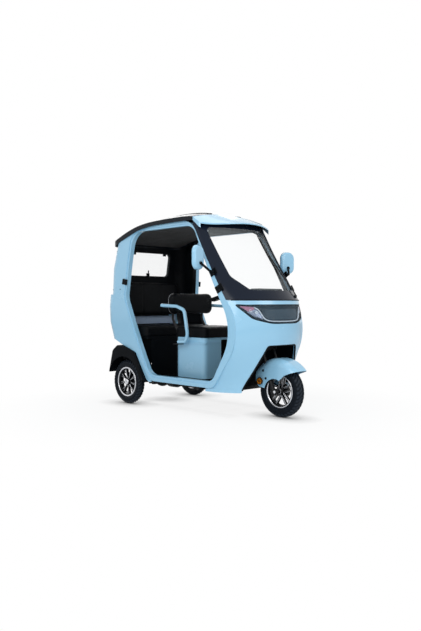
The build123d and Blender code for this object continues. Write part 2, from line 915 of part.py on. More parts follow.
def sill_leg():
    """The tongue of the quarter panel that runs down ahead of the rear wheel."""
    return across(side_profile(quarter_outline), 300, 600) & side_skin(-2, panel_thickness + 2)


def quarter_panel(rear):
    region = across(side_profile(quarter_outline), 0, 600)
    centre = block((from_rear(-400), from_rear(-150)), (-600, panel_split_y), (0, 1800))
    low = block((from_rear(-150), from_rear(700)), (0, 600), (0, 505))
    left_half = block((from_rear(-400), from_rear(700)), (0, 600), (500, 1800))
    panel = (rear & left_half & region) - centre
    leg = sill_leg() & block((from_rear(100), from_rear(366)), (0, 600), (0, 502))
    joined = panel + leg
    return joined - across(side_profile(hoop_outer), -600, 600) - roof_space()


window_half_width = 285.0
window_lap = 14.0
window_z = (above_belt(1245), above_belt(1485))


def window_prism(outset):
    half = window_half_width + outset
    rows = [(half, window_z[0] - outset, 45 + outset), (half, window_z[1] + outset, 45 + outset)]
    return along(front_profile(rows, from_rear(-420)), 400)


def rear_panel(rear):
    centre = block((from_rear(-400), from_rear(-150)), (-panel_split_y, panel_split_y), (500, 1760))
    return (rear & centre) - window_prism(0) - roof_space() - plate_holes()


plate_hole_spacing = 140.0
plate_hole_radius = 3.2
plate_height = 770.0


def plate_holes():
    holes = []
    for y in (-plate_hole_spacing / 2, plate_hole_spacing / 2):
        start, end = (from_rear(-420), y, plate_height), (from_rear(-150), y, plate_height)
        holes.append(rod(start, end, plate_hole_radius))
    return Part() + holes


def rear_window():
    """Pane behind the opening, lapping its edge, with two hinges and a latch."""
    pane = rear_solid(upper_sections, panel_thickness) - rear_solid(
        upper_sections, panel_thickness + glass_thickness
    )
    return pane & window_prism(window_lap)


def window_fittings():
    """Two hinge tabs at the pane's top edge and a latch at its foot, on the inside of the glass."""
    inside = rear_solid(upper_sections, panel_thickness + glass_thickness)
    tabs = inside - rear_solid(upper_sections, panel_thickness + glass_thickness + 12)
    parts = []
    low, high = window_z
    for y in (-200, 200):
        space = block((from_rear(-400), from_rear(0)), (y - 18, y + 18), (high - 27, high + 12))
        parts.append(tabs & space)
    x = from_rear(upper_sections[0][1]) + panel_thickness + glass_thickness
    latch = block((x, x + 14), (-16, 16), (low - 9, low + 30))
    lever = rod((x + 10, 0, low + 10), (x + 44, -22, low + 55), 6)
    return Part() + [latch + lever] + parts


def rear_lining():
    outside = panel_thickness + seam
    lining = rear_solid(upper_sections, outside) - rear_solid(upper_sections, outside + liner_thickness)
    keep = block((from_rear(-300), from_rear(40)), (-600, 600), (belt_height + 1, 1700))
    return (lining & keep) - window_prism(window_lap + 2) - roof_space() - hoop_tool()


# Rear fenders. Columns: anchor, dx, z, corner radius
rear_fender_outline = [
    ("rear", -236, 292, 6),
    ("rear", -176, 510, 40),
    ("rear", -106, 560, 40),
    ("rear", 30, 566, 60),
    ("rear", 162, 500, 30),
    ("rear", 318, 240, 6),
]
fender_arch_radius = 246.0
rear_fender_wall = 8.0
rear_fender_y = (366.0, 500.0)


def rear_fender():
    face = side_profile(rear_fender_outline)
    outer = across(face, *rear_fender_y)
    outer = fillet(outer.faces().sort_by(Axis.Y)[-1].edges(), 14)
    shrink = offset(face, amount=-rear_fender_wall, kind=Kind.INTERSECTION)
    inner = across(shrink, rear_fender_y[0] - 1, rear_fender_y[1] - rear_fender_wall)
    arch = Pos(rear_axle_x, 400, rear_tyre_radius) * Rot(90, 0, 0) * Cylinder(fender_arch_radius, 400)
    shell = outer - inner - arch
    below = block((from_rear(-400), from_rear(400)), (300, 600), (0, 240))
    body_space = across(side_profile(quarter_outline), 300, 600)
    floor_corner = block((from_rear(252), from_rear(400)), (300, 408), (0, 400))
    return shell - below - body_space - floor_corner


def rear_bumper():
    x = from_rear(-232)
    bar = block((x - 10, x), (-358, 358), (372, 498))
    bar = fillet(bar.edges().filter_by(Axis.X), 20)
    tow = block((x - 22, x - 10), (-60, 60), (395, 470))
    return bar + fillet(tow.edges().filter_by(Axis.X), 12)


def tail_lamps():
    lamp = block((from_rear(-330), from_rear(-235)), (352, 420), (640, 830))
    lamp = fillet(lamp.edges().filter_by(Axis.X), 18)
    body = rear_solid(lower_sections, -7) - rear_solid(lower_sections, -seam)
    return both_sides(lamp & body)


# Roof: sections across the vehicle with a crowned top
# Columns: anchor, dx, bottom z, side top z, crown z, half width
roof_sections = [
    ("rear", -268, 1520, 1546, 1590, 470),
    ("rear", 0, 1600, 1640, 1716, 470),
    ("rear", 270, 1668, 1702, 1776, 470),
    ("rear", 540, 1686, 1718, 1798, 470),
    ("front", -740, 1688, 1722, 1786, 470),
    ("front", -620, 1686, 1716, 1764, 470),
]
visor_sections = [
    ("front", -620, 1686, 1716, 1764, 456),
    ("front", -545, 1625, 1668, 1738, 456),
    ("front", -430, 1540, 1600, 1700, 456),
    ("front", -330, 1480, 1545, 1662, 456),
]
roof_wall = 9.0
roof_half_width = 456.0


def crown_section(anchor, dx, bottom, side_top, crown, half_width, inset, drop):
    x = place(anchor, dx)
    y = half_width - inset
    low = bottom - drop
    arc = ThreePointArc((x, -y, side_top - inset), (x, 0, crown - inset), (x, y, side_top - inset))
    rest = Polyline((x, y, side_top - inset), (x, y, low), (x, -y, low), (x, -y, side_top - inset))
    return Face(Wire([*arc.edges(), *rest.edges()]))


def crown_solid(sections, inset, drop):
    return loft([crown_section(*row, inset, drop) for row in sections])


def roof_plan(inset):
    y = roof_half_width - inset
    back, front = from_rear(-262) + inset, from_front(-620)
    points = [(back, -y, 1400), (front, -y, 1400), (front, y, 1400), (back, y, 1400)]
    corner = corner_radius - inset
    face = make_face(FilletPolyline(*points, radius=[corner, 0, 0, corner], close=True))
    return extrude(face, amount=500, dir=(0, 0, 1))


def roof_panel():
    outer = crown_solid(roof_sections, 0, 0) & roof_plan(0)
    inner = crown_solid(roof_sections, roof_wall, 60) & roof_plan(roof_wall)
    ribs = []
    for side in (-1, 1):
        middle = side * 190
        line = block((from_rear(40), from_front(-660)), (middle - 11, middle + 11), (1500, 1900))
        ribs.append(line & (crown_solid(roof_sections, -7, 0) - crown_solid(roof_sections, 2, 0)))
    return outer + ribs - inner


visor_front_dx = -345.0
visor_side_dx = -545.0


def visor_plan(inset):
    back = from_front(-620)
    side_x, front_x = from_front(visor_side_dx) - inset, from_front(visor_front_dx) - inset
    y = 460.0
    arc = ThreePointArc((side_x, -y, 1400), (front_x, 0, 1400), (side_x, y, 1400))
    rest = Polyline((side_x, y, 1400), (back, y, 1400), (back, -y, 1400), (side_x, -y, 1400))
    face = Face(Wire([*arc.edges(), *rest.edges()]))
    return extrude(face, amount=500, dir=(0, 0, 1))


def visor_sheet(outset):
    outer = crown_solid(visor_sections, -outset, outset) & visor_plan(-outset)
    return outer - crown_solid(visor_sections, roof_wall + outset, 200)


def roof_visor():
    return visor_sheet(0)


def ceiling_liner():
    """Shallow headlining between the hoops, under the roof."""
    top, bottom = 1662.0, 1654.0
    reach = skin_y(top) - hoop_depth - seam
    liner = block((from_rear(215), from_front(-640)), (-reach, reach), (bottom, top))
    points = [(from_rear(-186), 0, 1556), (from_rear(215), 0, bottom), (from_rear(215), 0, top)]
    points.append((from_rear(-186), 0, 1564))
    slope = across(make_face(Polyline(*points, close=True)), -reach, reach)
    return liner + slope


# Windscreen: a black surround on top of one curved pane
# Clear area, seen from the front. Columns: y, z, corner radius
clear_outline = [(385, 1620, 30), (372, 1190, 60), (275, 1075, 60)]


def clear_prism(inset):
    top, side, foot = clear_outline
    rows = [
        (top[0] - inset, top[1] - inset, top[2]),
        (side[0] - inset, side[1] + 0.5 * inset, side[2]),
        (foot[0] - 0.5 * inset, foot[1] + inset, foot[2]),
    ]
    return along(front_profile(rows, from_front(-700)), 900)


surround_thickness = 12.0


def screen_band():
    """Limits of the windscreen between nose and visor."""
    return block((from_front(-640), from_front(200)), (-600, 600), (nose_top + seam, 1690))


def windscreen_surround(screens):
    shell = screens["outer"] - screens["middle"]
    return (shell & screen_band()) - clear_prism(0) - hoop_tool() - visor_sheet(seam)


def windscreen_glass(screens):
    shell = screens["middle"] - screens["inner"]
    return (shell & screen_band() & clear_prism(-16)) - hoop_tool() - visor_sheet(seam)


# Dashboard: scuttle shelf, drop panel and instrument pod
def dashboard():
    inside = nose_solid(panel_thickness + surround_thickness + 2)
    shelf_z = (nose_top - 26, nose_top - 14)
    shelf = inside & block((from_front(-262), from_front(150)), (-405, 405), shelf_z)
    drop = [
        ("front", -262, shelf_z[1], 0),
        ("front", -270, shelf_z[1], 0),
        ("front", -140, 667 + seam, 0),
        ("front", -132, 667 + seam, 0),
    ]
    panel = across(side_profile(drop), -380, 380)
    pod = rounded_block((from_front(-225), from_front(-120)), (-160, 160), (shelf_z[1] - 3, 1092), 14)
    return shelf + (panel & inside) + pod


def knee_shelf():
    """Cover over the arch liner, from the toe board to the dashboard's drop panel."""
    cover = block((from_front(-328), from_front(-100)), (-330, 330), (662, 667))
    neck = block((from_front(-340), from_front(-180)), (-28, 28), (600, 740))
    return (cover & nose_solid(panel_thickness + 4)) - neck - head_tube_hole()


# Mirrors, hoop clips and pedal
mirror_centre = (-430.0, 590.0, 1347.0)
mirror_yaw = 13.0


def mirror_place():
    dx, y, z = mirror_centre
    return Pos(from_front(dx), y, z) * Rot(0, 0, -mirror_yaw)


def mirror_shell():
    face = Plane.YZ * RectangleRounded(150, 205, 62)
    shell = extrude(face, amount=34)
    shell = fillet(shell.faces().sort_by(Axis.X)[-1].edges(), 22)
    recess = Pos(-1, 0, 0) * extrude(Plane.YZ * RectangleRounded(138, 193, 56), amount=7)
    return mirror_place() * (shell - recess)


def mirror_glass():
    face = Plane.YZ * RectangleRounded(137.4, 192.4, 55.7)
    return mirror_place() * Pos(0.3, 0, 0) * extrude(face, amount=5)


def mirror_arm():
    knuckle = (from_front(-395), 575.0, 1300.0)
    elbow = (from_front(-345), 520.0, 1235.0)
    root = (from_front(-338), 480.0, 1226.0)
    stalk = bent_tube([root, elbow, knuckle], [22], 10)
    ball = Pos(*knuckle) * Sphere(15)
    return stalk + ball - mirror_place() * extrude(Plane.YZ * RectangleRounded(150, 205, 62), amount=34)


def hoop_clip(dx_anchor, dx, z, height, lean):
    """Clamp round the hoop's outer face."""
    x = place(dx_anchor, dx)
    strap = Pos(x, 0, z) * Rot(0, lean, 0) * Box(70, 1200, height)
    return (strap & side_skin(9, 0)) & block((-2000, 2000), (0, 700), (0, 2000))


# Columns: anchor, dx, z, height, lean
clip_table = [
    ("rear", 10, 1170, 52, 10),
    ("front", -283, 1090, 58, -32),
    ("front", -352, 1226, 50, -32),
]


def hoop_clips():
    return both_sides(Part() + [hoop_clip(*row) for row in clip_table])


def brake_pedal():
    x = from_rear(1010)
    arm = rod((x, -110, floor_top + 9), (x + 40, -110, floor_top + 82), 7)
    pad = Pos(x + 42, -110, floor_top + 88) * Rot(0, 40, 0) * Box(52, 78, 12)
    foot = block((x - 18, x + 18), (-125, -95), (floor_top, floor_top + 12))
    return Part() + [arm, fillet(pad.edges(), 4), foot]


def build_all():
    shells = {"nose": nose_solid(0), "nose_inner": nose_solid(panel_thickness)}
    screens = {
        "outer": screen_solid(0),
        "middle": screen_solid(surround_thickness),
        "inner": screen_solid(surround_thickness + glass_thickness),
    }
    rear = rear_shell(0, panel_thickness)
    left_hoop = door_hoop()
    left_quarter = quarter_panel(rear)
    left_fender = rear_fender()
    nodes = {
        "chassis_frame": chassis_frame(),
        "floor_pan": floor_pan(),
        "toe_board": toe_board() + knee_shelf(),
        "rear_axle": rear_axle(),
        "drive_motor": drive_motor(),
        "leaf_springs": leaf_springs(),
        "battery_pack": battery_pack(),
        "seat_box": seat_box(),
        "seat_cushion": seat_cushion(),
        "backrest_pad": backrest_pad(),
        "seat_frame": seat_frame() + armrest_brackets(),
        "armrest_left": armrest(),
        "armrest_right": other_side(armrest()),
        "rear_seat_base": rear_seat_base(),
        "rear_seat_cushion": rear_seat_cushion(),
        "rear_backrest": rear_backrest(),
        "nose_panel": nose_panel(shells),
        "headlight_lens": headlight_lens(),
        "headlight_housing": headlight_housing(),
        "arch_liner": arch_liner(),
        "dashboard": dashboard(),
        "windscreen_surround": windscreen_surround(screens),
        "windscreen_glass": windscreen_glass(screens),
        "roof_panel": roof_panel(),
        "roof_visor": roof_visor(),
        "ceiling_liner": ceiling_liner(),
        "door_hoop_left": left_hoop,
        "door_hoop_right": other_side(left_hoop),
        "quarter_panel_left": left_quarter,
        "quarter_panel_right": other_side(left_quarter),
        "rear_panel": rear_panel(rear),
        "rear_window": rear_window(),
        "window_fittings": window_fittings(),
        "rear_lining": rear_lining(),
        "rear_fender_left": left_fender,
        "rear_fender_right": other_side(left_fender),
        "rear_bumper": rear_bumper(),
        "tail_lamps": tail_lamps(),
        "mirror_arms": both_sides(mirror_arm()),
        "mirror_shells": both_sides(mirror_shell()),
        "mirror_glasses": both_sides(mirror_glass()),
        "hoop_clips": hoop_clips(),
        "brake_pedal": brake_pedal(),
        "fork_legs": fork_legs(),
        "steering_stem": steering_stem(),
        "front_axle": front_axle(),
        "front_fender": front_fender(),
        "turn_lamps": turn_lamps(),
        "handlebar": handlebar(),
        "hand_grips": hand_grips(),
        "front_tyre": Pos(front_axle_x, 0, front_tyre_radius)
        * tyre(front_tyre_diameter, front_tyre_width, bead_radius),
        "front_rim": front_rim(),
    }
    for name, side in (("left", 1), ("right", -1)):
        where = Pos(rear_axle_x, side * wheel_y, rear_tyre_radius)
        nodes["rear_tyre_" + name] = where * tyre(rear_tyre_diameter, rear_tyre_width, bead_radius)
        nodes["rear_rim_" + name] = rear_rim(side)
    return nodes


os.makedirs("parts", exist_ok=True)
for name, shape in build_all().items():
    export_step(shape, "parts/" + name + ".step")
    print(name, len(shape.solids()), round(shape.volume / 1000), "cm3")
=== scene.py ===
# %% [markdown]
# This script dresses a small electric tricycle. The solid model gives every main shape, so Blender's
# work is what a solid can't carry: paint, rubber, seat vinyl, tread, lamps and fasteners. The packed
# model is loaded first and never moved, and each new piece is tied to one of its bodies.

# %% Load the frame
import math

import bmesh
import bpy
from mathutils import Matrix, Vector
from mathutils.bvhtree import BVHTree


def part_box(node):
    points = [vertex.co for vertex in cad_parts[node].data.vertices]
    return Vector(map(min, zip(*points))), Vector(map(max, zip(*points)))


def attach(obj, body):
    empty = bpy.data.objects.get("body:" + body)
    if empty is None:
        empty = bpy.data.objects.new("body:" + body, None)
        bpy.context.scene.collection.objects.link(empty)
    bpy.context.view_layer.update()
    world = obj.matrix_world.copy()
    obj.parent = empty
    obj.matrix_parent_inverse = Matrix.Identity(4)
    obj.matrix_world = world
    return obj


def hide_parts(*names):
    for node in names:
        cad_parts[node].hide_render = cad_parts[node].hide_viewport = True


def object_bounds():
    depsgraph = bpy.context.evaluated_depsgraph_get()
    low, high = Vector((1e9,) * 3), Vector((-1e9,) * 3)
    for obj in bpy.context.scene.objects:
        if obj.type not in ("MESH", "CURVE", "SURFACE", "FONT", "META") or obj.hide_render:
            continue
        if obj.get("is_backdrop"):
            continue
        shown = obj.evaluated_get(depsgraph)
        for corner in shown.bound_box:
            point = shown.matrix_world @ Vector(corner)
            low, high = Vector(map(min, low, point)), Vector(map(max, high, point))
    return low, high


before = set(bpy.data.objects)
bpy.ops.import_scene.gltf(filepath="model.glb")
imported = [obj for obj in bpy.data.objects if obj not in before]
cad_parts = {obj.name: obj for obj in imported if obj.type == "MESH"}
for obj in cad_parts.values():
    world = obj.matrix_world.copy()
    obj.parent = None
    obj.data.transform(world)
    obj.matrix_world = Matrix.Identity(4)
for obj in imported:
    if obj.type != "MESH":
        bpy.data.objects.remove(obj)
cad_box = [list(corner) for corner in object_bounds()]
FRONT_AXLE_X = 0.818
REAR_AXLE_X = -0.732
CABIN_FRONT_X = 0.818
WHEEL_Y = 0.425
FRONT_RADIUS = 0.222
REAR_RADIUS = 0.210
FRONT_WIDTH = 0.092
REAR_WIDTH = 0.080
FRONT_HUB = Vector((FRONT_AXLE_X, 0, FRONT_RADIUS))
LEFT_HUB = Vector((REAR_AXLE_X, WHEEL_Y, REAR_RADIUS))
RIGHT_HUB = Vector((REAR_AXLE_X, -WHEEL_Y, REAR_RADIUS))

# %% [markdown]
# The camera stands where the photographer stood: at chest height, off the front right corner. Its
# lens follows from how fast the wheels shrink with distance. The long side of the frame is 36 mm.

# %% Camera


def linked(name, data):
    """A new object in the scene that holds a camera, a lamp, a curve or a mesh."""
    made = bpy.data.objects.new(name, data)
    bpy.context.scene.collection.objects.link(made)
    return made


def facing_along(way):
    """The rotation that points a camera or a lamp along a direction."""
    return Vector(way).to_track_quat("-Z", "Y").to_euler()


camera_data = bpy.data.cameras.new("photo_camera")
camera_data.lens = 38.4
camera_data.sensor_width = 36
camera = linked("photo_camera", camera_data)
camera.location = (4.446, -4.439, 0.968)
camera.rotation_euler = facing_along((-0.711, 0.703, -0.0185))
bpy.context.scene.camera = camera
print("camera at", tuple(camera.location))

# %% [markdown]
# Shaders are small networks, and one helper builds them. It takes what feeds a node's inputs in order,
# and its settings and other inputs by name. What feeds an input is a number, an output or another node.

# %% Shader helpers


def feed(tree, socket, source):
    """Link an output or a node's first output to an input, or set the input to a plain value."""
    if isinstance(source, bpy.types.Node):
        source = source.outputs[0]
    if isinstance(source, bpy.types.NodeSocket):
        tree.links.new(source, socket)
    elif source is not None:
        socket.default_value = source


def node(tree, kind, *sources, **values):
    """One node of a tree. A name's underscores stand for the spaces in an input's name."""
    made = tree.nodes.new(kind)
    for name, value in values.items():
        if hasattr(made, name):
            setattr(made, name, value)
        else:
            feed(tree, made.inputs[name.replace("_", " ")], value)
    for socket, source in zip(made.inputs, sources):
        feed(tree, socket, source)
    return made


def maths(tree, operation, *sources):
    return node(tree, "ShaderNodeMath", *sources, operation=operation)


def empty_tree(owner):
    owner.use_nodes = True
    owner.node_tree.nodes.clear()
    return owner.node_tree


# %% [markdown]
# A studio sheet is white where the camera sees it, yet it still darkens where the wheels touch it. So
# the floor is matt near the vehicle, its white is dimmed by Ambient Occlusion where something stands
# close above it, and further out it fades into plain white. Only camera, mirror and glass rays see the
# white world at full strength, and the lamps stay at a plain level.

# %% World, floor and lamps
WORLD_LIGHT = 0.50
FADE_START, FADE_END = 1.2, 2.2
NEAR_WHITE = 0.86
SHADOW_REACH, SHADOW_POWER = 0.22, 1.3
LAMP_TARGET = Vector((0, 0, 0.7))
world = bpy.data.worlds.new("studio")
bpy.context.scene.world = world
tree = empty_tree(world)
soft_light = node(tree, "ShaderNodeBackground", Color=(0.93, 0.96, 1, 1), Strength=WORLD_LIGHT)
white = node(tree, "ShaderNodeBackground", Color=(1, 1, 1, 1), Strength=1.0)
rays = node(tree, "ShaderNodeLightPath").outputs
camera_or_glass = maths(tree, "MAXIMUM", rays["Is Camera Ray"], rays["Is Transmission Ray"])
seen = maths(tree, "MAXIMUM", camera_or_glass, rays["Is Glossy Ray"])
node(tree, "ShaderNodeOutputWorld", node(tree, "ShaderNodeMixShader", seen, soft_light, white))

bpy.ops.mesh.primitive_circle_add(vertices=96, radius=40, fill_type="NGON")
floor = bpy.context.object
floor.name = "studio_floor"
floor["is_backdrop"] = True
sheet_finish = bpy.data.materials.new("studio_sheet")
tree = empty_tree(sheet_finish)
matt = node(tree, "ShaderNodeBsdfDiffuse", Color=(0.93, 0.93, 0.93, 1))
place = node(tree, "ShaderNodeTexCoord").outputs["Object"]
reach = node(tree, "ShaderNodeVectorMath", place, operation="LENGTH").outputs["Value"]
fade = node(
    tree, "ShaderNodeMapRange", reach, From_Min=FADE_START, From_Max=FADE_END, To_Min=NEAR_WHITE, To_Max=1.0
)
close_by = node(tree, "ShaderNodeAmbientOcclusion", samples=8, Distance=SHADOW_REACH).outputs["AO"]
dimmed = maths(tree, "POWER", close_by, SHADOW_POWER)
glow = node(tree, "ShaderNodeEmission", Color=(1, 1, 1, 1), Strength=dimmed)
share = maths(tree, "MULTIPLY", fade, node(tree, "ShaderNodeLightPath").outputs["Is Camera Ray"])
node(tree, "ShaderNodeOutputMaterial", node(tree, "ShaderNodeMixShader", share, matt, glow))
floor.data.materials.append(sheet_finish)

# Columns: name, place, size, power in watts
lamp_table = [
    ("key_lamp", (2.6, -4.6, 3.6), 3.2, 122),
    ("nose_lamp", (5.2, 0.6, 2.4), 2.4, 50),
    ("top_lamp", (-0.6, 0.2, 5.0), 4.0, 48),
    ("rear_lamp", (-4.6, 3.4, 3.2), 3.0, 56),
]
for name, spot, size, power in lamp_table:
    lamp_data = bpy.data.lights.new(name, "AREA")
    lamp_data.energy = power
    lamp_data.size = size
    lamp = linked(name, lamp_data)
    lamp.location = spot
    lamp.rotation_euler = facing_along(LAMP_TARGET - Vector(spot))
bpy.context.scene.view_settings.view_transform = "Standard"
print("lamps:", len(lamp_table))

# %% [markdown]
# Every finish starts from one Principled shader. What makes it a real material is small: two close
# colours that drift over the surface, a roughness that isn't quite even, and a fine bump. The sizes
# are in metres, because all patterns read Object coordinates.

# %% One finish
# Kinds of bump: the texture, the output that it gives, and its settings
bump_kinds = {
    "noise": ("ShaderNodeTexNoise", "Fac", {"Detail": 3.0}),
    "cells": ("ShaderNodeTexVoronoi", "Distance", {}),
    "rings": ("ShaderNodeTexWave", "Fac", {"wave_type": "RINGS", "rings_direction": "Y"}),
}


def finish(name, colour, drift, drift_size, roughness, uneven, *bumps, **sockets):
    """A procedural material. Each bump is a kind, a grain size in metres, a height and a strength."""
    material = bpy.data.materials.new(name)
    tree = empty_tree(material)
    place = node(tree, "ShaderNodeTexCoord").outputs["Object"]
    cloud = node(tree, "ShaderNodeTexNoise", place, Scale=1 / drift_size, Detail=4.0)
    tint = node(tree, "ShaderNodeMix", cloud.outputs["Fac"], data_type="RGBA")
    for socket, change in ((6, -drift), (7, drift)):
        tint.inputs[socket].default_value = (*[min(1, part * (1 + change)) for part in colour], 1)
    haze = node(tree, "ShaderNodeTexNoise", place, Scale=3 / drift_size, Detail=3.0).outputs["Fac"]
    spread = node(tree, "ShaderNodeMapRange", haze, From_Min=0.3, From_Max=0.7)
    spread.inputs["To Min"].default_value = max(0.0, roughness - uneven)
    spread.inputs["To Max"].default_value = min(1.0, roughness + uneven)
    relief = None
    for kind, grain, height, strength in bumps:
        texture, output, settings = bump_kinds[kind]
        pattern = node(tree, texture, place, Scale=1 / grain, **settings).outputs[output]
        relief = node(
            tree, "ShaderNodeBump", Strength=strength, Distance=height, Height=pattern, Normal=relief
        )
    shader = node(tree, "ShaderNodeBsdfPrincipled", Roughness=spread, Normal=relief, **sockets)
    feed(tree, shader.inputs["Base Color"], tint.outputs[2])
    node(tree, "ShaderNodeOutputMaterial", shader)
    return material


# %% Finishes of this vehicle
# Order: name, colour, drift and its size, roughness and its unevenness, bumps, other sockets
PAINT_BLUE = (0.306, 0.590, 0.795)
panel_paint = finish(
    "light_blue_panel_paint", PAINT_BLUE, 0.035, 0.6, 0.24, 0.04, ("noise", 0.0022, 0.0004, 0.05),
    ("noise", 0.09, 0.004, 0.03), Coat_Weight=0.5, Coat_Roughness=0.06,
)
gloss_navy = finish(
    "glossy_navy_black", (0.007, 0.012, 0.024), 0.2, 0.3, 0.16, 0.05, ("noise", 0.12, 0.003, 0.04),
    Specular_IOR_Level=0.16,
)
grained_plastic = finish(
    "grained_black_plastic", (0.0024, 0.0034, 0.0046), 0.25, 0.2, 0.5, 0.08, ("cells", 0.0012, 0.0004, 0.25),
    ("noise", 0.05, 0.002, 0.08), Specular_IOR_Level=0.06,
)
gloss_roof = finish(
    "black_roof_skin", (0.006, 0.009, 0.014), 0.25, 0.4, 0.3, 0.08, ("noise", 0.004, 0.0003, 0.06),
    ("noise", 0.2, 0.004, 0.05), Specular_IOR_Level=0.16,
)
powder_coat = finish(
    "black_powder_coat", (0.007, 0.0075, 0.0085), 0.3, 0.1, 0.38, 0.1, ("noise", 0.0009, 0.0002, 0.3),
    Specular_IOR_Level=0.2,
)
vinyl = finish(
    "black_seat_vinyl", (0.0022, 0.0028, 0.0038), 0.3, 0.08, 0.44, 0.07, ("cells", 0.0016, 0.0005, 0.45),
    ("noise", 0.012, 0.0012, 0.12), Specular_IOR_Level=0.08,
)
tyre_rubber = finish(
    "tyre_rubber", (0.004, 0.0068, 0.011), 0.5, 0.03, 0.55, 0.12, ("noise", 0.0015, 0.0004, 0.35),
    ("noise", 0.02, 0.0008, 0.15), Specular_IOR_Level=0.11,
)
# Tread blocks: the casing's black rubber made lighter and bluer, so the blue-grey highlights on the tread's
# edges are painted in as colour: painted highlight.
tread_rubber_with_painted_highlight = finish(
    "tread_rubber_with_painted_highlight", (0.011, 0.017, 0.026), 0.4, 0.03, 0.48, 0.12, ("noise", 0.0015, 0.0004, 0.35),
    Specular_IOR_Level=0.2,
)
soft_rubber = finish(
    "soft_black_rubber", (0.004, 0.0045, 0.0055), 0.3, 0.05, 0.68, 0.08, ("noise", 0.0008, 0.0003, 0.3),
    Specular_IOR_Level=0.12,
)
alloy_black = finish(
    "black_wheel_enamel", (0.006, 0.0065, 0.008), 0.3, 0.06, 0.28, 0.08, ("noise", 0.0015, 0.0002, 0.15),
    Specular_IOR_Level=0.2,
)
alloy_bright = finish(
    "machined_wheel_face", (0.72, 0.73, 0.76), 0.08, 0.02, 0.24, 0.06, ("rings", 0.0016, 0.0001, 0.15),
    Metallic=1.0,
)
cast_metal = finish(
    "cast_aluminium", (0.34, 0.345, 0.36), 0.2, 0.04, 0.48, 0.1, ("noise", 0.0018, 0.0004, 0.4), Metallic=1.0,
)
chrome = finish(
    "bright_plated_steel", (0.78, 0.79, 0.81), 0.05, 0.05, 0.1, 0.05, ("noise", 0.01, 0.0002, 0.05),
    Metallic=1.0,
)
headlining = finish(
    "grey_headlining_felt", (0.058, 0.058, 0.058), 0.18, 0.09, 0.9, 0.05, ("noise", 0.0011, 0.0008, 0.6),
    ("cells", 0.006, 0.0006, 0.2), Specular_IOR_Level=0.1,
)
screen_glass = finish("clear_screen_glass", (0.72, 0.80, 0.83), 0.03, 0.5, 0.03, 0.015, Alpha=0.07)
lamp_lens = finish(
    "clear_lamp_lens", (0.20, 0.32, 0.42), 0.08, 0.1, 0.06, 0.02, Alpha=0.08, Specular_IOR_Level=0.35,
)
mirror_silver = finish("mirror_silver", (0.80, 0.83, 0.85), 0.02, 0.2, 0.03, 0.015, Metallic=1.0)
amber_lens = finish(
    "amber_lamp_lens", (0.62, 0.20, 0.012), 0.35, 0.012, 0.14, 0.05, ("cells", 0.004, 0.0012, 0.5),
    Coat_Weight=0.4, Coat_Roughness=0.05,
)
red_lens = finish(
    "red_lamp_lens", (0.46, 0.010, 0.014), 0.3, 0.02, 0.14, 0.05, ("cells", 0.004, 0.0012, 0.45),
    Coat_Weight=0.4, Coat_Roughness=0.05,
)
bowl_silver = finish(
    "lamp_bowl_silver", (0.26, 0.31, 0.42), 0.15, 0.03, 0.25, 0.08, ("cells", 0.006, 0.0008, 0.25),
    Metallic=1.0,
)
light_guide = finish(
    "light_guide_white", (0.66, 0.76, 0.86), 0.05, 0.02, 0.16, 0.05, ("cells", 0.003, 0.0004, 0.2),
    Coat_Weight=0.5, Coat_Roughness=0.05,
)
rose_lens = finish(
    "rose_corner_lens", (0.42, 0.17, 0.27), 0.25, 0.02, 0.16, 0.05, ("cells", 0.003, 0.0008, 0.35),
    Coat_Weight=0.4, Coat_Roughness=0.05,
)
piping_vinyl = finish(
    "pale_seat_piping", (0.55, 0.57, 0.60), 0.08, 0.02, 0.45, 0.08, ("noise", 0.001, 0.0002, 0.3),
)
display_glass = finish(
    "dark_display_glass", (0.010, 0.016, 0.024), 0.3, 0.05, 0.07, 0.03, ("noise", 0.05, 0.0005, 0.03),
    Coat_Weight=0.5, Coat_Roughness=0.03,
)
grille_black = finish(
    "grille_black", (0.010, 0.018, 0.026), 0.3, 0.05, 0.4, 0.05, ("cells", 0.004, 0.0005, 0.3),
    Specular_IOR_Level=0.15,
)
grille_stud = finish(
    "grille_stud_grey", (0.05, 0.08, 0.11), 0.2, 0.02, 0.35, 0.08, ("noise", 0.001, 0.0001, 0.2),
    Specular_IOR_Level=0.3,
)
# The wall behind the bench: the light-blue paint, greyed to how it looks in shade, which is painted shade.
wall_paint_with_painted_shade = finish(
    "wall_paint_greyed_as_painted_shade", (0.42, 0.54, 0.72), 0.06, 0.2, 0.5, 0.06, ("noise", 0.001, 0.0003, 0.2),
    Specular_IOR_Level=0.25,
)
battery_case = finish(
    "battery_case_grey", (0.06, 0.065, 0.07), 0.2, 0.08, 0.55, 0.1, ("noise", 0.001, 0.0003, 0.3),
)

# %% [markdown]
# Visor, hoops and rear shell are painted where they face out and bare black where they face the cabin.
# The shader reads which way the surface faces, so one moulding needs no second mesh. On the hoops and
# quarter panels the inside faces the vehicle's middle, on both sides of it.

# %% Paint outside, black inside


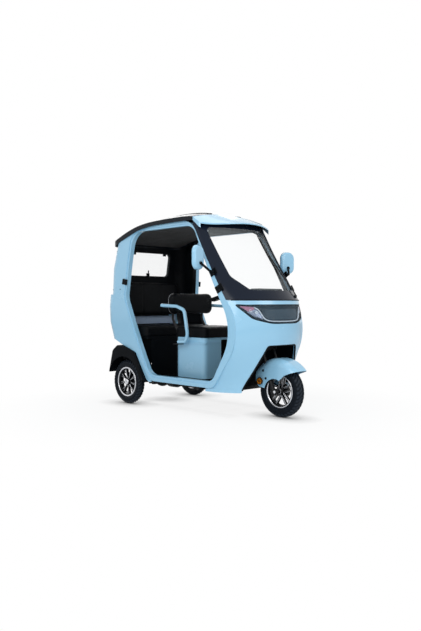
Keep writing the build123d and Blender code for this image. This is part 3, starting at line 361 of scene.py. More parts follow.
def painted_outside(name, axis, limit, above=False, towards_middle=False):
    """Panel paint, bare black where the normal's part along an axis is below, or above, a limit."""
    material = panel_paint.copy()
    material.name = name
    tree = material.node_tree
    paint = next(item for item in tree.nodes if item.type == "BSDF_PRINCIPLED")
    output = next(item for item in tree.nodes if item.type == "OUTPUT_MATERIAL")
    normal = node(tree, "ShaderNodeNewGeometry").outputs["Normal"]
    part = node(tree, "ShaderNodeSeparateXYZ", normal).outputs[axis]
    if towards_middle:
        place = node(tree, "ShaderNodeTexCoord").outputs["Object"]
        side = maths(tree, "SIGN", node(tree, "ShaderNodeSeparateXYZ", place).outputs["Y"])
        part = maths(tree, "MULTIPLY", part, side)
    bare = maths(tree, "GREATER_THAN" if above else "LESS_THAN", part, limit)
    plastic = node(tree, "ShaderNodeBsdfPrincipled", Roughness=0.4, Specular_IOR_Level=0.12)
    plastic.inputs["Base Color"].default_value = (0.006, 0.0065, 0.008, 1)
    feed(tree, output.inputs["Surface"], node(tree, "ShaderNodeMixShader", bare, paint, plastic))
    return material


visor_paint = painted_outside("visor_paint_black_beneath", "Z", -0.25)
hoop_paint = painted_outside("side_panel_paint_black_inside", "Y", -0.6, towards_middle=True)
rear_paint = painted_outside("rear_panel_paint_black_inside", "X", 0.3, above=True)
print("two-sided paints:", visor_paint.name, hoop_paint.name, rear_paint.name)

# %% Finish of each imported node
node_finish = {
    panel_paint: "nose_panel seat_box armrest_left armrest_right mirror_shells front_fender",
    hoop_paint: "door_hoop_left door_hoop_right quarter_panel_left quarter_panel_right",
    rear_paint: "rear_panel",
    visor_paint: "roof_visor",
    gloss_navy: "windscreen_surround",
    gloss_roof: "roof_panel",
    grained_plastic: "rear_fender_left rear_fender_right rear_bumper arch_liner dashboard toe_board "
                     "headlight_housing rear_lining rear_seat_base floor_pan hoop_clips mirror_arms "
                     "window_fittings",
    powder_coat: "chassis_frame rear_axle leaf_springs seat_frame fork_legs handlebar brake_pedal "
                 "steering_stem",
    vinyl: "seat_cushion backrest_pad rear_seat_cushion rear_backrest",
    tyre_rubber: "front_tyre rear_tyre_left rear_tyre_right",
    alloy_black: "front_rim rear_rim_left rear_rim_right",
    cast_metal: "drive_motor",
    chrome: "front_axle",
    screen_glass: "windscreen_glass rear_window",
    lamp_lens: "headlight_lens",
    mirror_silver: "mirror_glasses",
    red_lens: "tail_lamps",
    amber_lens: "turn_lamps",
    headlining: "ceiling_liner",
    soft_rubber: "hand_grips",
    battery_case: "battery_pack",
}
unfinished = set(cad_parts)
for material, names in node_finish.items():
    for name in names.split():
        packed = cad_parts[name]
        packed.data.materials.clear()
        packed.data.materials.append(material)
        unfinished.remove(name)
print("nodes without a finish:", sorted(unfinished))

# %% [markdown]
# Nearly every small piece below is one of four forms: a ring turned about an axle, a round rod along a
# line, a patch that lies on a panel, or one shape repeated by Geometry Nodes. So helpers for them come
# first. Each gives a plain mesh whose place is in its points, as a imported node's is.

# %% Pieces from mesh code


def add_piece(name, mesh, material, body="chassis", smooth=True):
    """Put a finished mesh in the scene, on a body, with its material."""
    mesh.name = name
    mesh.materials.clear()
    mesh.materials.append(material)
    for face in mesh.polygons:
        face.use_smooth = smooth
        face.material_index = 0
    piece = linked(name, mesh)
    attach(piece, body)
    return piece


def frozen(holder):
    """The mesh that an object shows with its bevel or modifiers. The object itself goes."""
    bpy.context.view_layer.update()
    mesh = bpy.data.meshes.new_from_object(holder.evaluated_get(bpy.context.evaluated_depsgraph_get()))
    bpy.data.objects.remove(holder)
    return mesh


def mesh_of(points, faces):
    mesh = bpy.data.meshes.new("form")
    mesh.from_pydata([tuple(point) for point in points], [], faces)
    shaper = bmesh.new()
    shaper.from_mesh(mesh)
    bmesh.ops.recalc_face_normals(shaper, faces=shaper.faces)
    shaper.to_mesh(mesh)
    shaper.free()
    return mesh


def joined(meshes):
    """Several meshes as one."""
    shaper = bmesh.new()
    for mesh in meshes:
        shaper.from_mesh(mesh)
    whole = bpy.data.meshes.new("joined")
    shaper.to_mesh(whole)
    shaper.free()
    return whole


def turned_form(profile, hub=(0, 0, 0), steps=28):
    """A closed profile of (radius, y) pairs turned about the line through hub along Y."""
    points, faces = [], []
    count = len(profile)
    for step in range(steps):
        angle = 2 * math.pi * step / steps
        for radius, y in profile:
            points.append((hub[0] + radius * math.sin(angle), hub[1] + y, hub[2] + radius * math.cos(angle)))
    for step in range(steps):
        here, there = step * count, (step + 1) % steps * count
        for index in range(count):
            after = (index + 1) % count
            faces.append((here + index, here + after, there + after, there + index))
    return mesh_of(points, faces)


def rod_form(route, radius, closed=False, sides=8, bends=True):
    """A round rod along a route. The ends are capped, and a smooth route passes near its points."""
    curve = bpy.data.curves.new("route", "CURVE")
    curve.dimensions = "3D"
    curve.bevel_depth = radius
    curve.bevel_resolution = sides // 4 - 1
    curve.use_fill_caps = True
    curve.resolution_u = 6
    spline = curve.splines.new("NURBS" if bends else "POLY")
    spline.points.add(len(route) - 1)
    for point, spot in zip(spline.points, route):
        point.co = (*spot, 1)
    if bends:
        spline.order_u = 3
        spline.use_endpoint_u = not closed
    spline.use_cyclic_u = closed
    return frozen(linked("route", curve))


def soft_box(low, high, edge, segments=2):
    """A block with rounded edges, from its two corners."""
    shaper = bmesh.new()
    bmesh.ops.create_cube(shaper, size=1)
    low, high = Vector(low), Vector(high)
    for corner in shaper.verts:
        corner.co = low + Vector([(part + 0.5) * span for part, span in zip(corner.co, high - low)])
    bmesh.ops.bevel(shaper, geom=shaper.edges[:], offset=edge, segments=segments, profile=0.5, affect="EDGES")
    mesh = bpy.data.meshes.new("block")
    shaper.to_mesh(mesh)
    shaper.free()
    return mesh


def placed(mesh, matrix):
    moved = mesh.copy()
    moved.transform(matrix)
    return moved


def turned(degrees, axis):
    return Matrix.Rotation(math.radians(degrees), 4, axis)


def both_ways(mesh):
    """A mesh and its mirror image across the vehicle's middle."""
    twin = placed(mesh, Matrix.Scale(-1, 4, (0, 1, 0)))
    twin.flip_normals()
    return joined([mesh, twin])


print("piece helpers ready")

# %% [markdown]
# Some pieces lie on a moulded panel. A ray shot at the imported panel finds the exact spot, so a bolt or a
# lamp rim touches the panel wherever it is put.

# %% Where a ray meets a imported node
FORWARDS = (1, 0, 0)
BACKWARDS = (-1, 0, 0)
UP = (0, 0, 1)
DOWN = (0, 0, -1)
AHEAD_X = 2
BEHIND_X = -1.6


def node_tree_of(*names):
    """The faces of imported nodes, ready for rays."""
    points, faces = [], []
    for name in names:
        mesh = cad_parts[name].data
        first = len(points)
        points += [corner.co.copy() for corner in mesh.vertices]
        faces += [[first + index for index in face.vertices] for face in mesh.polygons]
    return BVHTree.FromPolygons(points, faces)


def look_for(tree, start, way):
    """The first spot that a ray meets and the normal there, or None for both."""
    return tree.ray_cast(Vector(start), Vector(way))[:2]


def surface(tree, start, way):
    """The same for a ray that has to meet something."""
    spot, normal = look_for(tree, start, way)
    if spot is None:
        raise RuntimeError("no panel along this ray: %s %s" % (start, way))
    return spot, normal


def spot_on(tree, start, way):
    return surface(tree, start, way)[0]


# %% [markdown]
# Geometry Nodes repeat a seed mesh. One tree turns copies about a wheel's axle, for tread and spokes. The
# other sets a screw on every point of a seed, along the direction that the point carries.

# %% Two repeating trees
WASHER_SHARE = 1.5
HEAD_TAPER = 0.86


def start_tree(name, sizes):
    """A Geometry Nodes tree with one named input for each size, and the geometry in and out."""
    made = bpy.data.node_groups.new(name, "GeometryNodeTree")
    made.interface.new_socket(name="Seed", in_out="INPUT", socket_type="NodeSocketGeometry")
    for size, kind in sizes.items():
        made.interface.new_socket(name=size, in_out="INPUT", socket_type="NodeSocket" + kind)
    made.interface.new_socket(name="Result", in_out="OUTPUT", socket_type="NodeSocketGeometry")
    return made, made.nodes.new("NodeGroupInput").outputs, made.nodes.new("NodeGroupOutput").inputs


def close_tree(made, instances, material, result):
    real = node(made, "GeometryNodeRealizeInstances", instances)
    feed(made, result, node(made, "GeometryNodeSetMaterial", real, Material=material))


turn_tree, given, result = start_tree("turned_copies", {"Count": "Int", "Finish": "Material"})
points = node(turn_tree, "GeometryNodePoints", given["Count"])
pitch = maths(turn_tree, "DIVIDE", 2 * math.pi, given["Count"])
angle = maths(turn_tree, "MULTIPLY", node(turn_tree, "GeometryNodeInputIndex"), pitch)
about_axle = node(turn_tree, "ShaderNodeCombineXYZ", Y=angle)
copies = node(turn_tree, "GeometryNodeInstanceOnPoints", points, Instance=given["Seed"], Rotation=about_axle)
close_tree(turn_tree, copies, given["Finish"], result["Result"])

screw_tree, given, result = start_tree(
    "screws_on_points", {"Head Radius": "Float", "Head Height": "Float", "Finish": "Material"}
)
radius, height = given["Head Radius"], given["Head Height"]
wider = maths(screw_tree, "MULTIPLY", radius, WASHER_SHARE)
taper = maths(screw_tree, "MULTIPLY", radius, HEAD_TAPER)
washer = node(screw_tree, "GeometryNodeMeshCylinder", Vertices=20, Radius=wider, Depth=0.002)
head = node(
    screw_tree, "GeometryNodeMeshCone", Vertices=6, Radius_Bottom=radius, Radius_Top=taper, Depth=height
)
both = node(screw_tree, "GeometryNodeJoinGeometry", washer)
feed(screw_tree, both.inputs[0], head)
facing = node(screw_tree, "GeometryNodeInputNamedAttribute", data_type="FLOAT_VECTOR", Name="facing")
align = node(screw_tree, "FunctionNodeAlignRotationToVector", axis="Z", Vector=facing)
copies = node(screw_tree, "GeometryNodeInstanceOnPoints", given["Seed"], Instance=both, Rotation=align)
close_tree(screw_tree, copies, given["Finish"], result["Result"])


def grown(seed, made, values):
    """Run a tree on a seed mesh and keep the result as a plain mesh."""
    holder = linked("seed", seed)
    modifier = holder.modifiers.new("grow", "NODES")
    modifier.node_group = made
    for item in made.interface.items_tree:
        if item.in_out == "INPUT" and item.name in values:
            modifier[item.identifier] = values[item.name]
    return frozen(holder)


def turned_copies(seed, count, hub, material):
    return placed(grown(seed, turn_tree, {"Count": count, "Finish": material}), Matrix.Translation(hub))


def screws(name, spots, radius, height, material, body="chassis"):
    """One screw at each spot. A spot is its place and the way that its head points."""
    seed = bpy.data.meshes.new("screw_spots")
    seed.from_pydata([tuple(place) for place, way in spots], [], [])
    ways = seed.attributes.new("facing", "FLOAT_VECTOR", "POINT")
    for entry, (place, way) in zip(ways.data, spots):
        entry.vector = Vector(way).normalized()
    mesh = grown(seed, screw_tree, {"Head Radius": radius, "Head Height": height, "Finish": material})
    add_piece(name, mesh, material, body, smooth=False)


print("trees:", turn_tree.name, screw_tree.name)

# %% [markdown]
# A tyre's tread is a few dozen equal blocks, cut at a slant from the crown to the shoulder. One block is
# shaped along the crown's curve, and Geometry Nodes turn it about the axle. The smooth casing
# under it is turned from a profile close to the imported tyre's, drawn in by the depth of the tread.

# %% Casing and tread
BEAD_RADIUS = 0.132
FLANGE_RADIUS = 0.142
TREAD_DEPTH = 0.0042
EDGE_DEPTH = TREAD_DEPTH - 0.0004
BLOCK_STATIONS = 6
BLOCK_ROOT = -0.001
BLOCK_TAPER = 0.82


def tyre_profile(radius, width):
    """The outside of the casing as (radius, y), from one bead over the crown to the other."""
    half = width / 2
    shoulder = half * 0.78
    right = [
        (FLANGE_RADIUS + 0.002, width * 0.33),
        (BEAD_RADIUS + 0.022, half * 0.93),
        (BEAD_RADIUS + (radius - BEAD_RADIUS) * 0.55, half),
        (radius - 0.016, shoulder + 0.003),
        (radius - 0.0045, shoulder - 0.010),
        (radius - 0.0012, shoulder * 0.4),
    ]
    return right + [(radius - 0.0004, 0)] + [(r, -y) for r, y in reversed(right)]


def rounded_profile(profile):
    """Cut the corners of an open profile twice, so that it turns into a smooth casing."""
    for _ in range(2):
        cut = [profile[0]]
        for (r0, y0), (r1, y1) in zip(profile, profile[1:]):
            cut.append((0.75 * r0 + 0.25 * r1, 0.75 * y0 + 0.25 * y1))
            cut.append((0.25 * r0 + 0.75 * r1, 0.25 * y0 + 0.75 * y1))
        profile = cut + [profile[-1]]
    return profile


def crown_radius(profile, y):
    """How far out the casing is at a distance from its middle line."""
    for (r0, y0), (r1, y1) in zip(profile, profile[1:]):
        if y1 <= y <= y0 and r0 > BEAD_RADIUS + 0.05:
            share = (y0 - y) / (y0 - y1) if y0 > y1 else 0
            return r0 + (r1 - r0) * share
    return profile[len(profile) // 2][0]


def tread_block(profile, start_y, end_y, slant, half_angle, height, lead):
    """One slanted block from near the crown to the shoulder, at the top of the wheel."""
    points, faces = [], []
    for index in range(BLOCK_STATIONS + 1):
        share = index / BLOCK_STATIONS
        y = start_y + (end_y - start_y) * share
        radius = crown_radius(profile, abs(y))
        for side, lift in ((-1, BLOCK_ROOT), (-1, height), (1, height), (1, BLOCK_ROOT)):
            taper = BLOCK_TAPER if lift > 0 else 1.0
            turn = lead + slant * share + side * half_angle * taper
            points.append(((radius + lift) * math.sin(turn), y, (radius + lift) * math.cos(turn)))
    for index in range(BLOCK_STATIONS):
        for side in range(4):
            after = (side + 1) % 4
            first, second = index * 4, (index + 1) * 4
            faces.append((first + side, first + after, second + after, second + side))
    faces.append((0, 1, 2, 3))
    faces.append(tuple(BLOCK_STATIONS * 4 + side for side in (3, 2, 1, 0)))
    return mesh_of(points, faces)


# Columns: node, body, hub, radius, width, blocks around, slant
tyre_table = [
    ("front_tyre", "front_wheel", FRONT_HUB, FRONT_RADIUS, FRONT_WIDTH, 36, 0.16),
    ("rear_tyre_left", "rear_wheel_left", LEFT_HUB, REAR_RADIUS, REAR_WIDTH, 38, 0.13),
    ("rear_tyre_right", "rear_wheel_right", RIGHT_HUB, REAR_RADIUS, REAR_WIDTH, 38, 0.13),
]
for name, body, hub, radius, width, around, slant in tyre_table:
    profile = rounded_profile(tyre_profile(radius + 0.0006 - TREAD_DEPTH, width))
    inside = [(BEAD_RADIUS + 0.004, -width * 0.30), (BEAD_RADIUS + 0.004, width * 0.30)]
    casing = turned_form(profile + inside, hub, 120)
    casing_piece = add_piece(name + "_casing", casing, tyre_rubber, body)
    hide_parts(name)
    half = width / 2
    pitch = 2 * math.pi / around
    blocks, rings = [], []
    for side in (-1, 1):
        lead = 0.25 * pitch * side
        edge_lead = lead + slant * 1.05
        crown_row = (0.005, half * 0.60, slant, pitch * 0.33, TREAD_DEPTH, lead)
        edge_row = (half * 0.66, half * 0.90, slant * 0.35, pitch * 0.29, EDGE_DEPTH, edge_lead)
        for start, end, *form in (crown_row, edge_row):
            blocks.append(tread_block(profile, side * start, side * end, *form))
        for distance, bulge in ((0.030, 0.93), (0.040, 0.965)):
            r, y = BEAD_RADIUS + distance, side * half * bulge
            ring = [(r - 0.001, y - side * 0.002), (r + 0.001, y - side * 0.002), (r, y + side * 0.0012)]
            rings.append(turned_form(ring, hub, 72))
    tread = turned_copies(joined(blocks), around, hub, tread_rubber_with_painted_highlight)
    add_piece(name + "_tread", tread, tread_rubber_with_painted_highlight, body, smooth=False)
    add_piece(name + "_sidewall_lines", joined(rings), tyre_rubber, body)
    print(name, "tread faces:", len(tread.polygons))

# %% [markdown]
# Both kinds of cast wheel are enamelled black, then a lathe and a mill bare the metal on the lip and along
# the edges of the spokes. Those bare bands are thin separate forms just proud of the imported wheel.

# %% Bright lips, spoke edges and hubs
LIP_RADIUS = 0.1275
LIP_RISE = 0.0016
STRIP_INNER, STRIP_OUTER = 0.032, 0.124
STRIP_HALF = 0.0012


def lip_ring(hub, side, edge):
    """The machined lip of a wheel on one side: a thin ring with a rounded outer edge."""
    rise = side * LIP_RISE
    level = side * edge
    profile = [(LIP_RADIUS, level - rise), (LIP_RADIUS, level + rise), (FLANGE_RADIUS - 0.002, level + rise)]
    profile += [(FLANGE_RADIUS, level + rise * 0.3), (FLANGE_RADIUS, level - rise)]
    return turned_form(profile, hub, 96)


def edge_strip(offset, lean, width, y):
    """A flat bright strip along one edge of a spoke that stands up from the hub."""
    low = (offset - width / 2, y - STRIP_HALF, STRIP_INNER)
    high = (offset + width / 2, y + STRIP_HALF, STRIP_OUTER)
    return placed(soft_box(low, high, 0.0004, 1), turned(lean, "Y"))


# Strips are (offset, lean, width), and collars are (radius, distance from the middle plane)
FRONT_STRIPS = [(0.0175, 5, 0.0032), (-0.0175, -5, 0.0032), (0.0085, 5, 0.0022), (-0.0085, -5, 0.0022)]
REAR_STRIPS = [(0.0115, 9, 0.0028), (-0.0115, -9, 0.0028)]
FRONT_COLLAR = [(0.030, 0.034), (0.030, 0.0395), (0.024, 0.0425), (0.018, 0.0425), (0.018, 0.034)]
REAR_COLLAR = [(0.028, 0.028), (0.028, 0.0355), (0.022, 0.0385), (0.001, 0.0395), (0.001, 0.028)]
# Columns: node, body, hub, width, spoke count, strips, collar
rim_table = [
    ("front_rim", "front_wheel", FRONT_HUB, FRONT_WIDTH, 5, FRONT_STRIPS, FRONT_COLLAR),
    ("rear_rim_left", "rear_wheel_left", LEFT_HUB, REAR_WIDTH, 9, REAR_STRIPS, REAR_COLLAR),
    ("rear_rim_right", "rear_wheel_right", RIGHT_HUB, REAR_WIDTH, 9, REAR_STRIPS, REAR_COLLAR),
]
for name, body, hub, width, count, strips, collar in rim_table:
    face_y = width * 0.16 + 0.0006
    lips, bars, collars = [], [], []
    for side in (-1, 1):
        lips.append(lip_ring(hub, side, width * 0.33 + 0.0035))
        bars += [edge_strip(*strip, side * face_y) for strip in strips]
        collars.append(turned_form([(r, side * y) for r, y in collar], hub, 40))
    add_piece(name + "_lips", joined(lips), alloy_bright, body)
    bright = turned_copies(joined(bars), count, hub, alloy_bright)
    add_piece(name + "_spoke_edges", bright, alloy_bright, body, smooth=False)
    add_piece(name + "_hub_collars", joined(collars), alloy_bright, body)
    stem_foot = hub + Vector((0, -width * 0.2, 0.124))
    stem_end = hub + Vector((0, -width * 0.36, 0.104))
    stem = rod_form([stem_foot, (stem_foot + stem_end) / 2, stem_end], 0.0028)
    add_piece(name + "_valve", stem, soft_rubber, body)
print("wheels trimmed:", len(rim_table))

# %% [markdown]
# A vehicle seat is foam under stretched vinyl, so its faces crown and its edges pull in. Each cushion
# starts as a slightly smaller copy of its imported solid, is remeshed evenly, and is blown up from inside
# by the cloth solver. Its resting face stays flat, and no point may leave its solid's box.

# %% Swell a cushion
VOXEL = 0.008
INSET = 0.006
PRESSURE = 4.0
SWELL_FRAMES = 20
MERGE_REACH = 0.0002
REST_BAND = 1.6 * INSET
REST_LIFT = 0.0008
SEAM_FADE = 0.03
BOX_MARGIN = 0.0003


def cushion_shell(name, low, high):
    """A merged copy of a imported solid, drawn in on every side and remeshed evenly."""
    shaper = bmesh.new()
    shaper.from_mesh(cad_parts[name].data)
    bmesh.ops.remove_doubles(shaper, verts=shaper.verts, dist=MERGE_REACH)
    middle, span = (low + high) / 2, high - low
    for corner in shaper.verts:
        for axis in range(3):
            share = (span[axis] - 2 * INSET) / span[axis]
            corner.co[axis] = middle[axis] + (corner.co[axis] - middle[axis]) * share
    mesh = bpy.data.meshes.new(name + "_shell")
    shaper.to_mesh(mesh)
    shaper.free()
    shell = linked(name + "_shell", mesh)
    remesh = shell.modifiers.new("even", "REMESH")
    remesh.mode = "VOXEL"
    remesh.voxel_size = VOXEL
    return linked(name + "_shell", frozen(shell))


def swell(shell):
    """Some frames of cloth under pressure, without gravity. Gives the points where they end."""
    cloth = shell.modifiers.new("swell", "CLOTH")
    cloth.settings.use_pressure = True
    cloth.settings.uniform_pressure_force = PRESSURE
    cloth.settings.effector_weights.gravity = 0
    cloth.settings.mass = 0.3
    cloth.settings.tension_stiffness = 15
    cloth.settings.compression_stiffness = 15
    cloth.settings.bending_stiffness = 0.5
    for step in range(SWELL_FRAMES):
        bpy.context.scene.frame_set(step + 1)
    result = shell.evaluated_get(bpy.context.evaluated_depsgraph_get())
    spots = [corner.co.copy() for corner in result.data.vertices]
    shell.modifiers.clear()
    bpy.context.scene.frame_set(1)
    return spots


def cushion(name, cap, rest_axis, seams=(), depth=0, width=1):
    """Blow up one seat solid, keep its resting face flat, press in its seams and smooth it once."""
    low, high = (Vector(corner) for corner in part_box(name))
    shell = cushion_shell(name, low, high)
    before = [corner.co.copy() for corner in shell.data.vertices]
    after = swell(shell)
    for corner, old, new in zip(shell.data.vertices, before, after):
        move = new - old
        if move.length > cap:
            move = move.normalized() * cap
        spot = old + move
        gap = abs(spot[rest_axis] - low[rest_axis])
        if gap < REST_BAND:
            spot[rest_axis] = low[rest_axis] + REST_LIFT
        for place in seams:
            near = (spot.y - place) / width
            if abs(near) < 3:
                spot[rest_axis] -= depth * math.exp(-near * near) * min(1, gap / SEAM_FADE)
        limits = zip(spot, low, high)
        corner.co = [min(max(part, least + BOX_MARGIN), most - BOX_MARGIN) for part, least, most in limits]
    finer = shell.modifiers.new("fine", "SUBSURF")
    finer.levels = finer.render_levels = 1
    piece = add_piece(name + "_cover", frozen(shell), vinyl)
    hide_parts(name)
    print(name, "faces:", len(piece.data.polygons))
    return piece


# Columns: node, cap on the swelling, resting axis, and the seams' y places, depth and width if it has any
cushion_table = [
    ("seat_cushion", 0.007, 2, (-0.09, 0.09), 0.005, 0.006),
    ("backrest_pad", 0.008, 0),
    ("rear_seat_cushion", 0.007, 2, (-0.145, 0.145), 0.006, 0.007),
    ("rear_backrest", 0.008, 0, (-0.12, 0.12), 0.006, 0.007),
]
covers = {row[0]: cushion(*row) for row in cushion_table}

# %% [markdown]
# Piping is a cord sewn into the seam between two pieces of vinyl. It follows one level line round the
# cushion, and its route is found by looking inwards at the cover from all round. The driver's backrest
# has pale piping, which shows in the photo as a thin bright line at its rear edge.

# %% Piping along the covers
PIPING_STEPS = 120
SUNK_SHARE = 0.6
LOOK_FROM = 1.2


def ring_on(cover, name, axis, share, sink):
    """Points all round a cover at a share of its box along an axis, found by rays to its middle."""
    spots = [corner.co.copy() for corner in cover.data.vertices]
    tree = BVHTree.FromPolygons(spots, [tuple(face.vertices) for face in cover.data.polygons])
    low, high = (Vector(corner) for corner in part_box(name))
    centre = (low + high) / 2
    centre[axis] = low[axis] + (high[axis] - low[axis]) * share
    across = [index for index in range(3) if index != axis]
    ring = []
    for step in range(PIPING_STEPS):
        angle = 2 * math.pi * step / PIPING_STEPS
        way = Vector((0, 0, 0))
        way[across[0]], way[across[1]] = math.cos(angle), math.sin(angle)
        ring.append(spot_on(tree, centre + way * LOOK_FROM, -way) - way * sink)
    return ring


# Columns: node, axis, share of the box along it, radius, material
piping_table = [
    ("seat_cushion", 2, 0.80, 0.0030, vinyl),
    ("backrest_pad", 0, 0.16, 0.0034, piping_vinyl),
    ("rear_seat_cushion", 2, 0.80, 0.0030, vinyl),
    ("rear_backrest", 0, 0.72, 0.0030, vinyl),
]
for name, axis, share, radius, material in piping_table:
    route = ring_on(covers[name], name, axis, share, radius * SUNK_SHARE)
    add_piece(name + "_piping", rod_form(route, radius, closed=True), material)
print("cushions with piping:", len(piping_table))

# %% [markdown]
# Behind the clear lens lies a black tray with a dark studded grille in the middle, a silver chamber with
# two small round lamps at each side, a rose marker in the outer corner, and one white light guide that
# runs along the lower edge and up both sides. Each is a patch or a rod at a set depth behind the lens, so
# all of them follow its curve.

# %% Points behind the lens
LENS_LOW, LENS_HIGH = 0.808, 0.948
PLATE_THICKNESS = 0.002
lens = node_tree_of("headlight_lens")


def behind_lens(y, z, depth):
    """The point at a depth behind the lens's outside, seen from straight ahead."""
    spot, normal = look_for(lens, (AHEAD_X, y, z), BACKWARDS)
    if spot is None:
        spot, normal = surface(lens, (AHEAD_X, y, min(max(z, LENS_LOW), LENS_HIGH)), BACKWARDS)
    return spot - normal * depth if normal.x > 0 else spot + normal * depth


def between(rows, y):
    """The height of a line given as (y, z) points, at one y."""
    for (y0, z0), (y1, z1) in zip(rows, rows[1:]):
        if y0 <= y <= y1:
            return z0 + (z1 - z0) * (y - y0) / (y1 - y0)
    return rows[0][1] if y < rows[0][0] else rows[-1][1]


def lens_patch(low_line, high_line, depth, columns=12, rows=6):
    """A curved plate at one depth behind the lens, between a lower and an upper line of (y, z)."""
    start, end = low_line[0][0], low_line[-1][0]
    points, faces = [], []
    for column in range(columns + 1):
        y = start + (end - start) * column / columns
        low, high = between(low_line, y), between(high_line, y)
        for row in range(rows + 1):
            points.append(behind_lens(y, low + (high - low) * row / rows, depth))
    for column in range(columns):
        for row in range(rows):
            first = column * (rows + 1) + row
            faces.append((first, first + rows + 1, first + rows + 2, first + 1))
    mesh = mesh_of(points, faces)
    shaper = bmesh.new()
    shaper.from_mesh(mesh)
    bmesh.ops.solidify(shaper, geom=shaper.faces[:], thickness=PLATE_THICKNESS)
    bmesh.ops.recalc_face_normals(shaper, faces=shaper.faces)
    shaper.to_mesh(mesh)
    shaper.free()
    return mesh


# %% Grille, chambers and light guide
GUIDE_DEPTH = 0.009
LAMP_DEPTH = 0.015
BOWL = [(0.0005, 0.001), (0.006, 0.0045), (0.0115, 0.007), (0.0135, 0.006), (0.0135, -0.002)]
grille_low = [(-0.235, 0.838), (-0.12, 0.822), (0.12, 0.822), (0.235, 0.838)]
grille_high = [(-0.235, 0.915), (-0.12, 0.926), (0.12, 0.926), (0.235, 0.915)]
grille = lens_patch(grille_low, grille_high, 0.020, 24, 8)
add_piece("headlight_grille_plate", grille, grille_black)
chamber_low = [(0.226, 0.832), (0.300, 0.852), (0.352, 0.892)]
chamber_high = [(0.226, 0.840), (0.250, 0.876), (0.272, 0.916), (0.300, 0.930), (0.352, 0.936)]
chamber = lens_patch(chamber_low, chamber_high, 0.016)
add_piece("headlight_side_chambers", both_ways(chamber), bowl_silver)
marker_low = [(0.300, 0.915), (0.345, 0.898), (0.392, 0.938)]
marker_high = [(0.300, 0.936), (0.345, 0.940), (0.392, 0.944)]
marker = lens_patch(marker_low, marker_high, 0.007, rows=4)
add_piece("headlight_corner_markers", both_ways(marker), rose_lens)
guide_side = [(0.300, 0.932), (0.272, 0.921), (0.250, 0.880), (0.226, 0.836), (0.180, 0.818), (0.090, 0.815)]
guide_line = [(-y, z) for y, z in guide_side] + [(0, 0.8145)] + list(reversed(guide_side))
guide = rod_form([behind_lens(y, z, GUIDE_DEPTH) for y, z in guide_line], 0.0052, sides=12)
add_piece("headlight_light_guide", guide, light_guide)
lamps = []
for y, z in ((0.327, 0.906), (0.286, 0.890)):
    for side in (-1, 1):
        bowl = placed(turned_form(BOWL), turned(-90 + side * 22, "Z"))
        lamps.append(placed(bowl, Matrix.Translation(behind_lens(side * y, z, LAMP_DEPTH))))
add_piece("headlight_round_lamps", joined(lamps), light_guide)
print("round lamps:", len(lamps))

# %% [markdown]
# The grille's texture is a field of small studs. Geometry Nodes put one on each point of a grid that was
# laid behind the lens, so the studs follow its curve too.

# %% Studs on the grille
STUD_ROWS, STUD_COLUMNS = 7, 43
STUD_FOOT, STUD_ROW_PITCH = 0.836, 0.0125
STUD_SPAN, STUD_LIMIT = 0.42, 0.215
STUD_OFFSET = 0.005
STUD_DEPTH = 0.0195
stud_spots = []
for row in range(STUD_ROWS):
    for column in range(STUD_COLUMNS):
        y = -STUD_SPAN / 2 + STUD_SPAN * column / (STUD_COLUMNS - 1) + (STUD_OFFSET if row % 2 else 0)
        if abs(y) < STUD_LIMIT:
            stud_spots.append((behind_lens(y, STUD_FOOT + STUD_ROW_PITCH * row, STUD_DEPTH), FORWARDS))
screws("headlight_grille_studs", stud_spots, 0.0027, 0.002, grille_stud)
print("grille studs:", len(stud_spots))

# %% [markdown]
# A black rubber line closes the joint between lens and nose. It runs on the surface along the outline
# that the lens has in the solid model.

# %% Black line round the lens
panel_front = node_tree_of("headlight_lens", "nose_panel")
side_edge = [(0.421, 0.953), (0.380, 0.903), (0.330, 0.847), (0.300, 0.832), (0.245, 0.817), (0.190, 0.805)]
side_edge += [(0.150, 0.798), (0.060, 0.796)]
outline = [(-y, z) for y, z in side_edge] + list(reversed(side_edge))
outline += [(y, 0.9545) for y in (0.40, 0.30, 0.20, 0.10, 0.0, -0.10, -0.20, -0.30, -0.40)]
route = [spot_on(panel_front, (AHEAD_X, y, z), BACKWARDS) for y, z in outline]
add_piece("headlight_border", rod_form(route, 0.0036, closed=True), soft_rubber)
print("border points:", len(route))

# %% [markdown]
# The rear window's glass is held in a black rubber section that laps the panel's edge. It's one rod round
# the opening, on the cabin's side and on the outside, and a thin band between them blackens the opening's
# edge. Rays find the wall, which isn't flat.

# %% Rear window gasket
CABIN_X = -0.5
WINDOW_MIDDLE_Z = 1.36
SIDE_SHIFT = 1.03
SILL_SHIFT = 0.006


def rounded_ring(half, low, high, corner):
    """The (y, z) points of a rounded rectangle that stands across the vehicle."""
    right, left = half - corner, corner - half
    top, bottom = high - corner, low + corner
    ring = []
    for quarter, (y, z) in enumerate(((right, top), (left, top), (left, bottom), (right, bottom))):
        for part in range(9):
            turn = math.radians(90 * quarter + 90 * part / 8)
            ring.append((y + corner * math.cos(turn), z + corner * math.sin(turn)))
    return ring


